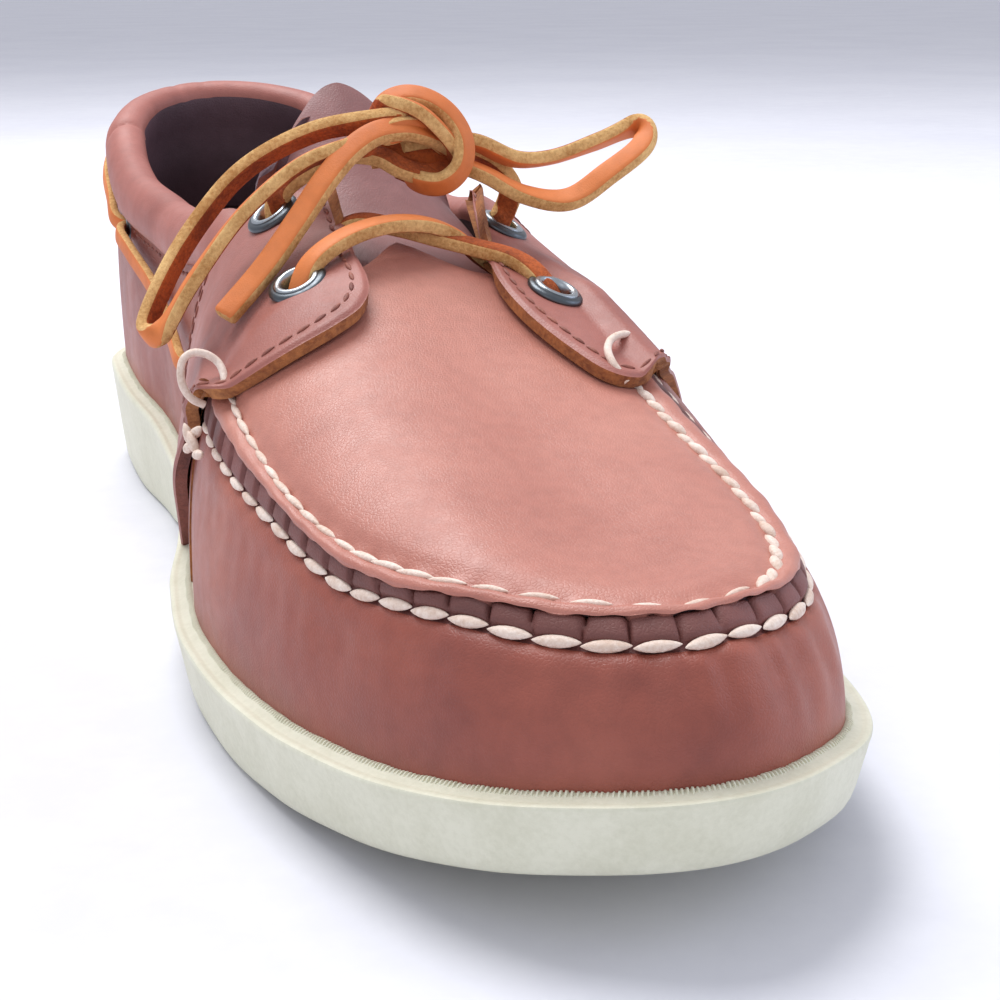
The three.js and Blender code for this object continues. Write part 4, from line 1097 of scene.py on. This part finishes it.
print("plug rises", round(float(np.max(form(0.0, np.linspace(0, 1, 50))[:, 2]))), "mm at the toe's ridge")

# %% [markdown]
# The last's lines all meet along the ridge, and a plug laid on it would show that as a crease. So the surface's
# heights are read on a plan and blurred there, and the plug's middle is laid on the blurred ones.

# %% The plug's soft middle
cell, blur, kernel_reach = 2.0, 5.0, 6
plan_x, plan_y = np.meshgrid(np.arange(-36, 32, cell), np.arange(-140, -24, cell), indexing="ij")
heights = form(*plan_place(plan_x, plan_y))[..., 2]
kernel = np.exp(-((np.arange(-kernel_reach, kernel_reach + 1) * cell / blur) ** 2) / 2)
kernel /= kernel.sum()
blurred = np.pad(heights, kernel_reach, mode="reflect", reflect_type="odd")
for axis in (0, 1):
    blurred = np.apply_along_axis(lambda row: np.convolve(row, kernel, "valid"), axis, blurred)
ridge_end = -0.5 * ridge_length


def soft_ridge(x, y):
    """The blurred height at places of the plan, and how far it counts, which is near the ridge only."""
    i = ((x - plan_x[0, 0]) / cell).clip(0, plan_x.shape[0] - 1.001)
    j = ((y - plan_y[0, 0]) / cell).clip(0, plan_x.shape[1] - 1.001)
    a, b = i.astype(int), j.astype(int)
    p, q = i - a, j - b
    front = (1 - p) * blurred[a, b] + p * blurred[a + 1, b]
    behind = (1 - p) * blurred[a, b + 1] + p * blurred[a + 1, b + 1]
    away = np.hypot(x - ridge_line(y), np.minimum(y - ridge_end, 0))
    return (1 - q) * front + q * behind, (1 - smooth(away, 8, 21)) * smooth(-y, 36, 48)


plug = panel("plug", 460, 64, plug_place)
merged(plug, 0.00005)
places = np.array([v.co for v in plug.data.vertices]) / MM
ridge_y = np.maximum(places[:, 1], ridge_end)
from_ridge = np.hypot(places[:, 0] - ridge_line(ridge_y), places[:, 1] - ridge_y)
smoothed(plug, (1 - smooth(from_ridge, 5, 15)) * smooth(-places[:, 1], 30, 38), 120)
places = np.array([v.co for v in plug.data.vertices]) / MM
soft_height, share = soft_ridge(places[:, 0], places[:, 1])
plug_stands_off = 0.65
places[:, 2] += (soft_height + plug_stands_off - places[:, 2]) * share
plug.data.vertices.foreach_set("co", (places * MM).ravel())
# the plug's face takes the lighter leather, a painted highlight
walled(plug, 1.4, [plug_leather_painted_highlight, lining_leather_painted_shade, dark_edge], 1, 2)
finished(plug, angle=60)

# %% [markdown]
# The outer stitches are long and thick, and lie in the hollow below the pleats, one over each. The inner ones
# differ from side to side in the photograph: long and thin on the medial side, short, thick and aslant on the
# lateral one. So they are three rows.


# %% Stitches of the seam
def along_row(first, last, climbs, pitch):
    """The turns of even stitches along a row that climbs gives for each turn."""
    turns = np.linspace(first, last, 2400)
    run = run_along(form(turns, climbs(turns)))
    count = round(run[-1] / pitch)
    return np.interp((np.arange(count) + 0.5) / count * run[-1], run, turns)


def seam_stitches(name, at, climbs, lift, length, width, height, twist=0.0):
    lift = lift(at) if callable(lift) else np.full(len(at), lift)
    step = 0.02
    centres = on_leather(at, climbs(at), lift)
    alongs = on_leather(at + step, climbs(at + step), lift) - on_leather(at - step, climbs(at - step), lift)
    uneven = 1 + 0.12 * (random.random(len(at)) - 0.5)
    piece = stitch_row(name, centres, alongs, outward(at, climbs(at)), length * (1.5 + uneven) / 2.5,
                       width * uneven, height, twist)
    finished(piece, [waxed_thread])


def on_plug(at):
    return plug_lift(at, (inner_at(at) - edge_at(at)) * millimetres_per_climb(at)) + 0.1


joints = (np.arange(stitch_count) + 0.5) / stitch_count * seam_run[-1]
joints = np.interp(joints, seam_run, seam_turns)
seam_stitches("outer_stitches", joints[np.abs(joints + 0.02) < 1.3], outer_at, 0.3, 6.4, 1.8, 1.4, 0.08)
# side, first and last turn, pitch, then each stitch's length, width, height and twist
for side, first, last, pitch, *stitch in (("medial", -1.24, -0.56, 5.2, 6.6, 1.2, 1.2, 0.07),
                                          ("front", -0.55, 0.3, 6.2, 5.4, 1.1, 1.1, 0.06),
                                          ("lateral", 0.31, 1.24, 3.5, 4.3, 1.8, 1.6, 0.35)):
    seam_stitches(f"inner_stitches_{side}", along_row(first, last, inner_at, pitch), inner_at, on_plug, *stitch)

# %% [markdown]
# ## Quarters, heel stay and collar
#
# The quarters close the back of the shoe up to the top line. In front they stop under the flaps, so that they
# don't show in the throat. They wait for their finish until the small eyelets' holes are cut.


# %% Quarters
quarter_start = 1.4


def quarter_place(u, v):
    turn = quarter_start + 2 * u * (np.pi - quarter_start)
    lateral_throat = np.interp(turn, [1.4, 1.475, 1.57, 1.6, 1.61], [0.765, 0.725, 0.66, 0.63, 1])
    medial_throat = np.interp(2 * np.pi - turn, [1.4, 1.484, 1.52, 1.6, 1.61], [0.85, 0.85, 0.77, 0.61, 1])
    topline = np.minimum(climb_to_topline(turn), np.minimum(lateral_throat, medial_throat))
    climb = -0.03 + (topline + 0.03) * v
    point = on_leather(turn, climb, np.zeros_like(u))
    soft = 0.35 * np.sin(5 * turn) * np.sin(np.pi * v) ** 2
    crease = -0.5 * np.exp(-(((np.abs(turn - np.pi) - 0.85) / 0.05) ** 2)) * smooth(v, 0.45, 0.9)
    return point + outward(turn, climb) * (soft * smooth(np.abs(turn - np.pi), 0.3, 0.6) + crease)[:, None]


quarters = panel("quarters", 260, 44, quarter_place)
walled(quarters, 1.8, [upper_leather, lining_leather_painted_shade, raw_edge], 1, 2)


print("quarters", len(quarters.data.polygons), "faces before their holes")

# %% [markdown]
# The heel stay is a strip over the seam at the back, wider at the sole than at the collar. The photograph doesn't
# show it. It thins a little at its edges, as skived leather does.


# %% Heel stay
def stay_half(v):
    """Half the stay's width, as a turn."""
    return 0.17 - 0.05 * v


def stay_place(u, v):
    turn = np.pi + (2 * u - 1) * stay_half(v)
    topline = climb_to_topline(turn)
    edge = np.minimum(1 - np.abs(2 * u - 1), 1 - v) * 12
    return on_leather(turn, -0.03 + (topline * 0.93 + 0.03) * v, 1.6 - 0.5 * np.exp(-(edge**2)))


heel_stay = panel("heel_stay", 40, 60, stay_place)
walled(heel_stay, 1.5, [upper_leather, raw_edge], 0, 1)
finished(heel_stay)

# %% [markdown]
# The collar is a soft pad rolled over the top line and sewn down inside, so it has a crown, wrinkles and a lining
# of its own. One profile is carried along the top line. It grows slimmer towards both ends, which go under the
# flaps, and short dips across its crown make the wrinkles.

# %% Collar
collar_turns = (1.6, 2 * np.pi - 1.6)
# outwards and down from the top line, in millimetres
collar_profile = np.array([
    (0.2, 7.2), (1.2, 6.8), (2, 5.4), (2.3, 3.4), (2.2, 1.6), (1.6, 0), (0.4, -1.2), (-1.2, -1.7), (-2.8, -1.3),
    (-4, -0.1),
    (-4.7, 1.8), (-4.9, 4), (-4.8, 6.6), (-4.6, 9), (-4.6, 12), (-4.8, 16), (-4.6, 20), (-3.8, 24), (-2.8, 27.5),
    (-2.2, 29),
])
collar_steps = len(collar_profile) - 1
wrinkles = np.append(random.uniform(*collar_turns, 16), 3.78)
wrinkle_depths = np.append(random.uniform(0.05, 0.22, 16), 0.8)


def collar_place(u, v):
    turn = collar_turns[0] + u * (collar_turns[1] - collar_turns[0])
    step = v * collar_steps
    index = np.arange(collar_steps + 1)
    out, down = through(index, collar_profile[:, 0])(step), through(index, collar_profile[:, 1])(step)
    crown = -smooth(step, 1, 5) * (1 - smooth(step, 11, 15))
    pinch = sum(deep * np.exp(-(((turn - at) / (0.028 - 0.018 * deep)) ** 2))
                for at, deep in zip(wrinkles, wrinkle_depths))
    taper = smooth(u, 0, 0.035) * smooth(1 - u, 0, 0.035)
    out = -1 + (out + 1) * (0.45 + 0.55 * taper)
    down = np.where(down < 8, 8 + (down - 8) * (0.55 + 0.45 * taper), down)
    topline = climb_to_topline(turn)
    top = form(turn, topline)
    anchor = form(turn, climb_to(turn, top[:, 2] - np.maximum(down, 0)))
    normal = outward(turn, topline)
    normal[:, 2] = 0
    normal /= np.linalg.norm(normal, axis=1, keepdims=True)
    lean = normal * out[:, None]
    lean[:, 2] += np.maximum(-down, 0)
    lean += (normal * 0.4 + [0, 0, 1]) * (crown * pinch)[:, None]
    return anchor + lean


collar = panel("collar_pad", 300, 57, collar_place)
flipped(collar)
collar.data.materials.append(collar_leather)
# below the roll the collar's inner face takes the dark lining, painted shade
collar_shade_painted_from = 9.8 / collar_steps
painted(collar, face_shares(collar)[1] > collar_shade_painted_from, 1)
walled(collar, 1.1, [lining_leather_painted_shade], 0, 0)
finished(collar, replaces=["collar"], angle=60)

# %% [markdown]
# ## Tongue and saddles
#
# The tongue fills the throat under the flaps and rises behind them. Each saddle is an overlay cut from thick
# leather: its edges are raw, so the tan inside of the hide shows, and its front corner rolls over the seam's lip.

# %% Tongue
tongue_start, tongue_end = 0.27, 0.535
tongue_half = through([0.27, 0.33, 0.39, 0.475, 0.5, 0.52, 0.531, 0.535],
                      [0.17, 0.19, 0.2, 0.195, 0.185, 0.17, 0.145, 0.12])
tongue_rise = through([0.27, 0.45, 0.48, 0.5, 0.52, 0.535], [0, 0, 3, 7, 11, 13.5])


def tongue_place(u, v):
    along = tongue_start + 0.265 * v
    across = 2 * u - 1
    y = sole_length * (along - 0.5) - 7 * across**2 * smooth(along, 0.49, tongue_end)
    x = ridge_line(y) + across * tongue_half(along) * sole_width
    point = form(*plan_place(x, y, 3.2), 3.2)
    arch = 1 - (1 - 0.55 * smooth(along, 0.5, 0.53)) * across**2
    return point + np.stack([np.zeros_like(u), np.zeros_like(u), tongue_rise(along) * arch], -1)


tongue = panel("tongue_leather", 60, 90, tongue_place)
# the tongue's face takes the greyer leather, painted shade
walled(tongue, 2.2, [tongue_leather, lining_leather_painted_shade, dark_edge], 1, 2)
finished(tongue, replaces=["tongue"])

# %% [markdown]
# Each saddle is a sheet stretched between a front edge and a back edge, both drawn as turns and climbs on the
# last. It rides over the pleats and the plug's lip. Towards the sole its cut edge is dyed, and round the flap it
# is left raw. It is not finished here, because its eyelets' holes come first.

# %% Saddles
# turn and climb up the front edge, round the flap's corner and back along the throat; then up the back edge
saddle_front = {
    "medial": [(-1.55, -0.02), (-1.5, 0.07), (-1.445, 0.14), (-1.375, 0.24), (-1.315, 0.34), (-1.285, 0.385),
               (-1.22, 0.44),
               (-1.178, 0.507), (-1.145, 0.6), (-1.125, 0.7), (-1.122, 0.76), (-1.128, 0.81), (-1.15, 0.845),
               (-1.185, 0.862),
               (-1.257, 0.867), (-1.36, 0.885), (-1.484, 0.9)],
    "lateral": [(1.47, -0.02), (1.4, 0.08), (1.345, 0.15), (1.3, 0.25), (1.25, 0.34), (1.148, 0.467),
                (1.085, 0.54), (1.04, 0.6),
                (0.99, 0.66), (0.972, 0.715), (0.978, 0.75), (1.017, 0.79), (1.091, 0.835), (1.174, 0.855),
                (1.257, 0.845),
                (1.36, 0.81), (1.475, 0.755), (1.555, 0.697)],
}
saddle_back = {
    "medial": [(-1.649, -0.02), (-1.645, 0.1), (-1.636, 0.213), (-1.625, 0.35), (-1.614, 0.453), (-1.597, 0.57)],
    "lateral": [(1.649, -0.02), (1.636, 0.203), (1.614, 0.45), (1.593, 0.587)],
}


def edge_line(rows):
    """A smooth line through places of the surface, by its share of length."""
    even_units = [150, 75]
    flat = np.hstack([np.array(rows) * even_units, np.zeros((len(rows), 1))])
    fine = rounded_path(flat, 400)[:, :2] / even_units
    run = run_along(form(fine[:, 0], fine[:, 1]))
    return lambda share: tuple(np.interp(share * run[-1], run, fine[:, i]) for i in (0, 1))


def saddle_lift(turn, climb):
    """The saddle's outer face: clear of the wall, over the pleats and the plug's lip, then over the plug."""
    above = (climb - edge_at(turn)) * millimetres_per_climb(turn)
    seam = 1 - smooth(np.abs(turn), 1.26, 1.44)
    over_plug = smooth(1.29 - np.abs(turn), 0, 0.06) * smooth(above, -3, 0)
    hump = smooth(above, -9, -3.5) * (1 - smooth(above, 2, 6))
    low = 1 - smooth(above, -14, -8)
    return 2.5 - 0.8 * low * seam + 1.3 * over_plug + 2.5 * hump * seam


def saddle_sheet(side):
    front, back = edge_line(saddle_front[side]), edge_line(saddle_back[side])
    corner, far = saddle_front[side][-1], saddle_back[side][-1]

    def place(u, v):
        (ft, fc), (bt, bc) = front(v), back(v)
        turn, climb = ft + u * (bt - ft), fc + u * (bc - fc)
        top = corner[0] + u * (far[0] - corner[0])
        bend = climb_to_topline(top) - (corner[1] + u * (far[1] - corner[1]))
        return turn, climb + bend * v**6 * np.sin(np.pi * np.clip(u, 0, 1)) ** 0.5

    return place


def saddle_point(side, u, v, extra=0.0):
    sheet = saddle_sheet(side)
    turn, climb = sheet(u, v)
    here = form(turn, climb)
    sheet_edges = ((0 * u, v), (0 * u + 1, v), (u, 0 * v + 1))
    edges = [np.linalg.norm(here - form(*sheet(a, b)), axis=1) for a, b in sheet_edges]
    near = np.minimum.reduce(edges)
    curl = 0.5 * np.exp(-((edges[0] / 4) ** 2))
    lift = saddle_lift(turn, climb) + curl - 0.55 * np.exp(-((near / 0.7) ** 2)) + extra
    return on_leather(turn, climb, lift), turn, climb


saddles = {}
dyed_below = {"medial": 43, "lateral": 40}
for side in dyed_below:
    piece = panel(f"saddle_{side}_leather", 70, 190, lambda u, v: saddle_point(side, u**1.5, v)[0])
    if side == "medial":
        flipped(piece)
    walled(piece, 2.1, [saddle_leather, raw_edge, raw_edge, dark_edge], 1, 2)
    centres = np.array([f.center for f in piece.data.polygons]) / MM
    rims = np.array([f.material_index for f in piece.data.polygons]) == 2
    painted(piece, rims & (centres[:, 2] < dyed_below[side]), 3)
    saddles[side] = piece
    print(piece.name, len(piece.data.polygons), "faces before its holes")

# %% [markdown]
# ## Eyelets
#
# Each is a rolled ring with a bright inner lip and a flange painted darker as painted shade, and its barrel passes
# through a real hole.

# %% Eyelets and their holes
eyelet_places = {
    "eyelet_front_medial": (-1.265, 0.717), "eyelet_front_lateral": (1.204, 0.73),
    "eyelet_rear_medial": (-1.488, 0.713), "eyelet_rear_lateral": (1.444, 0.707),
}
for side, name in ((-1, "medial"), (1, "lateral")):
    for row, label in (((0.58, 0.477, 0), "front"), ((0.813, 0.693, 0), "rear")):
        turn, climb, _, _ = beside(side, [row])
        eyelet_places[f"eyelet_side_{label}_{name}"] = (float(turn[0]), float(climb[0]))

# distance from the axis and height over the leather, in shares of the eyelet's radius
ring_profile = np.array([
    (1.0, -0.02), (1.01, 0.05), (0.97, 0.1), (0.9, 0.125), (0.82, 0.13), (0.79, 0.15), (0.75, 0.2), (0.68, 0.215),
    (0.62, 0.18), (0.585, 0.08), (0.575, -0.1), (0.57, -0.6),
])
throat_radius, side_radius = 4.8, 3.5


def disc(point, normal, radius, depth, height):
    """A round punch through the leather, from below its face to above it."""
    bpy.ops.object.select_all(action="DESELECT")
    turned = Vector(normal).to_track_quat("Z", "Y").to_matrix().to_4x4()
    bpy.ops.mesh.primitive_cylinder_add(vertices=40, radius=radius * MM, depth=(height + depth) * MM)
    cutter = bpy.context.object
    middle = Vector((point + normal * (height - depth) / 2) * MM)
    cutter.data.transform(Matrix.Translation(middle) @ turned)
    return cutter


for name, (turn, climb) in eyelet_places.items():
    throat = "side" not in name
    side = "medial" if "medial" in name else "lateral"
    radius = throat_radius if throat else side_radius
    turn, climb = np.array(turn), np.array(climb)
    lift = float(saddle_lift(turn, climb)) if throat else 0.0
    normal = outward(turn, climb)
    point = form(turn, climb) + normal * lift
    across = np.cross(normal, [0, 0, 1.0])
    across /= np.linalg.norm(across)
    upward = np.cross(normal, across)

    def ring_place(u, v):
        row = ring_profile[np.rint(v * (len(ring_profile) - 1)).astype(int)] * radius
        spoke = across * np.cos(2 * np.pi * u)[:, None] - upward * np.sin(2 * np.pi * u)[:, None]
        return point + spoke * row[:, :1] + normal * row[:, 1:]

    ring = panel(f"{name}_ring", 48, len(ring_profile) - 1, ring_place)
    merged(ring)
    applied(ring, "SOLIDIFY", thickness=0.0003, offset=-1)
    applied(ring, "SUBSURF", levels=1, render_levels=1)
    finished(ring, [metal, eyelet_flange_painted_shade], [name])
    centres = np.array([f.center for f in ring.data.polygons]) / MM - point
    wide = np.linalg.norm(centres - (centres @ normal)[:, None] * normal, axis=1)
    # the flange takes the darker plate, painted shade
    ring.data.polygons.foreach_set("material_index", (wide > 0.8 * radius).astype(np.int32))
    target = saddles[side] if throat else quarters
    cutter = disc(point, normal, 0.62 * radius, 5, 3)
    applied(target, "BOOLEAN", operation="DIFFERENCE", object=cutter, solver="EXACT")
    bpy.data.objects.remove(cutter)

for side, piece in saddles.items():
    finished(piece, replaces=[f"saddle_{side}"], angle=45)
finished(quarters, angle=60)

# %% [markdown]
# On each side the seam's thick thread comes up and loops once through the flap's corner; on the medial side it is
# knotted below it. The saddles' own stitches are small and dyed to match: a row along the flap's edge and two rows
# down the back.

# %% Thread loops
def thread(name, places, facing):
    piece = swept(name, rounded_path(places, 70), facing, ring_section(0.65, 10))
    finished(piece, [waxed_thread])


thread("thread_loop_medial", [
    (-45.4, -46.6, 51.4), (-47.4, -46.6, 52.6), (-48.6, -46.4, 54.6), (-48.8, -46, 57), (-48.2, -45.5, 58.8),
    (-46.6, -45.2, 59.7), (-44.8, -45.6, 59.5), (-43, -46.4, 58.3), (-42.4, -48, 56.7), (-42.6, -49.6, 54.8),
    (-42.8, -50, 53),
], (-0.5, 0.8, 0.2))
thread("thread_loop_lateral", [
    (16.6, -73, 55.5), (15, -71.6, 58), (15, -69, 59.7), (16.6, -66, 60.7), (19.4, -63.4, 61), (22, -61.6, 60.4),
    (23.6, -60.6, 58.6),
], (0.3, 0.9, 0.3))
knot_places = np.array([(-48.4, -47.6, 46.8), (-48.9, -49.6, 45.4), (-48.5, -51.6, 46.6), (-48.2, -53.6, 45.2),
                        (-47.8, -50.6, 48)])
knot_alongs = np.array([(0.2, -0.5, -0.9), (0.1, -0.9, 0.5), (0.2, -0.6, -0.8), (0.1, -1, 0.3), (0.3, -0.8, 0.6)])
knot_ups = np.cross(knot_alongs, np.cross([-0.9, -0.2, 0.4], knot_alongs))
knot_ups /= np.linalg.norm(knot_ups, axis=1, keepdims=True)
piece = stitch_row("thread_knot_medial", knot_places, knot_alongs, knot_ups, 4.6, 1.7, 1.7)
finished(piece, [waxed_thread])

# %% [markdown]
# A row of small stitches follows a line of its panel. The line is measured, and a stitch is set down at even
# steps along it, each pointing at the next.


# %% Small stitches on the saddles
def sewn(name, line, pitch, ups_at, size, twist=0.0, wanted=None):
    """Small dyed stitches at even steps along a line. ups_at gives their outward direction at chosen points."""
    run = run_along(line)
    first_stitch = 1.5
    steps = np.interp(np.arange(first_stitch, run[-1], pitch), run, np.arange(len(run)))
    index = np.rint(steps).astype(int).clip(1, len(run) - 2)
    if wanted is not None:
        index = index[wanted[index]]
    piece = stitch_row(name, line[index], line[index + 1] - line[index - 1], ups_at(index), *size, twist=twist)
    finished(piece, [tone_thread])


edge_distance, back_stitch = 3.2, (2.5, 0.7, 0.5)
lower = np.linspace(0.02, 0.98, 1200)
for side, first_share in (("medial", 0.33), ("lateral", 0.43)):
    shares = np.linspace(first_share, 0.97, 2000)
    at_edge, further_in = (saddle_point(side, 0 * shares + u, shares)[0] for u in (0, 0.1))
    width = np.linalg.norm(at_edge - further_in, axis=1) * 10
    line, turn, climb = saddle_point(side, edge_distance / width, shares, 0.1)
    sewn(f"saddle_stitches_{side}", line, 3.3, lambda i: outward(turn[i], climb[i]),
         (2.7, 0.8, 0.6), twist=0.12)
    for inset, label in ((0.92, "inner"), (0.965, "outer")):
        line, turn, climb = saddle_point(side, np.full_like(lower, inset), lower, 0.1)
        sewn(f"saddle_back_stitches_{side}_{label}", line, 3.1,
             lambda i: outward(turn[i], climb[i]), back_stitch)

# %% [markdown]
# The collar is sewn down all along its lower edge, apart from where the heel stay covers it. The stay has a row
# near each of its edges.

# %% Stitches below the collar and on the heel stay
turns = np.linspace(1.7, 2 * np.pi - 1.7, 3000)
rows = climb_to(turns, form(turns, climb_to_topline(turns))[:, 2] - 10.2)
line = on_leather(turns, rows, np.full(len(turns), 0.1))
sewn("collar_stitches", line, 3.2, lambda i: outward(turns[i], rows[i]), (2.6, 0.75, 0.6),
     wanted=np.abs(turns - np.pi) > 0.15)

v = np.linspace(0.05, 0.97, 1500)
for edge, label in ((-0.88, "medial"), (0.88, "lateral")):
    line = stay_place(np.full_like(v, 0.5 + edge / 2), v)
    sewn(f"heel_stay_stitches_{label}", line, 3.1,
         lambda i: outward(np.pi + edge * stay_half(v[i]), climb_to(np.full(len(i), np.pi), line[i, 2])),
         (2.5, 0.7, 0.6))

# %% [markdown]
# ## Floor and light
#
# A white sweep, one broad soft light above and behind, and a weaker one from the side keep the shadows short.

# %% Floor and lights
bpy.ops.object.select_all(action="DESELECT")
bpy.ops.mesh.primitive_plane_add(size=12, location=(0, 3, 0))
floor = bpy.context.object
floor.name = "floor"
floor_finish = fibrous("white paper", "#E2E2E9", "#DCDCE4", 0.8, 60.0, 0.00002)
floor.data.materials.append(floor_finish)


def soft_light(name, place, size, power, aim=(0, 0, 0.04), tint=(1, 1, 1)):
    bpy.ops.object.light_add(type="AREA", location=place)
    light = bpy.context.object
    light.name = name
    light.data.shape = "DISK"
    light.data.size = size
    light.data.energy = power
    light.data.color = tint
    light.rotation_euler = (Vector(aim) - Vector(place)).to_track_quat("-Z", "Y").to_euler()


soft_light("overhead", (-0.15, 0.55, 1.3), 1.0, 19)
soft_light("front fill", (-1.1, -1.3, 0.8), 1.2, 1.6)
soft_light("lateral fill", (1.3, -0.3, 0.6), 1.0, 4, tint=(0.72, 0.8, 1))
world = bpy.data.worlds.new("pale room")
world.use_nodes = True
world.node_tree.nodes["Background"].inputs[0].default_value = linear("#DADCE4")
world.node_tree.nodes["Background"].inputs[1].default_value = 0.92
bpy.context.scene.world = world
bpy.context.scene.view_settings.view_transform = "Standard"

print(len(bpy.data.lights), "lights")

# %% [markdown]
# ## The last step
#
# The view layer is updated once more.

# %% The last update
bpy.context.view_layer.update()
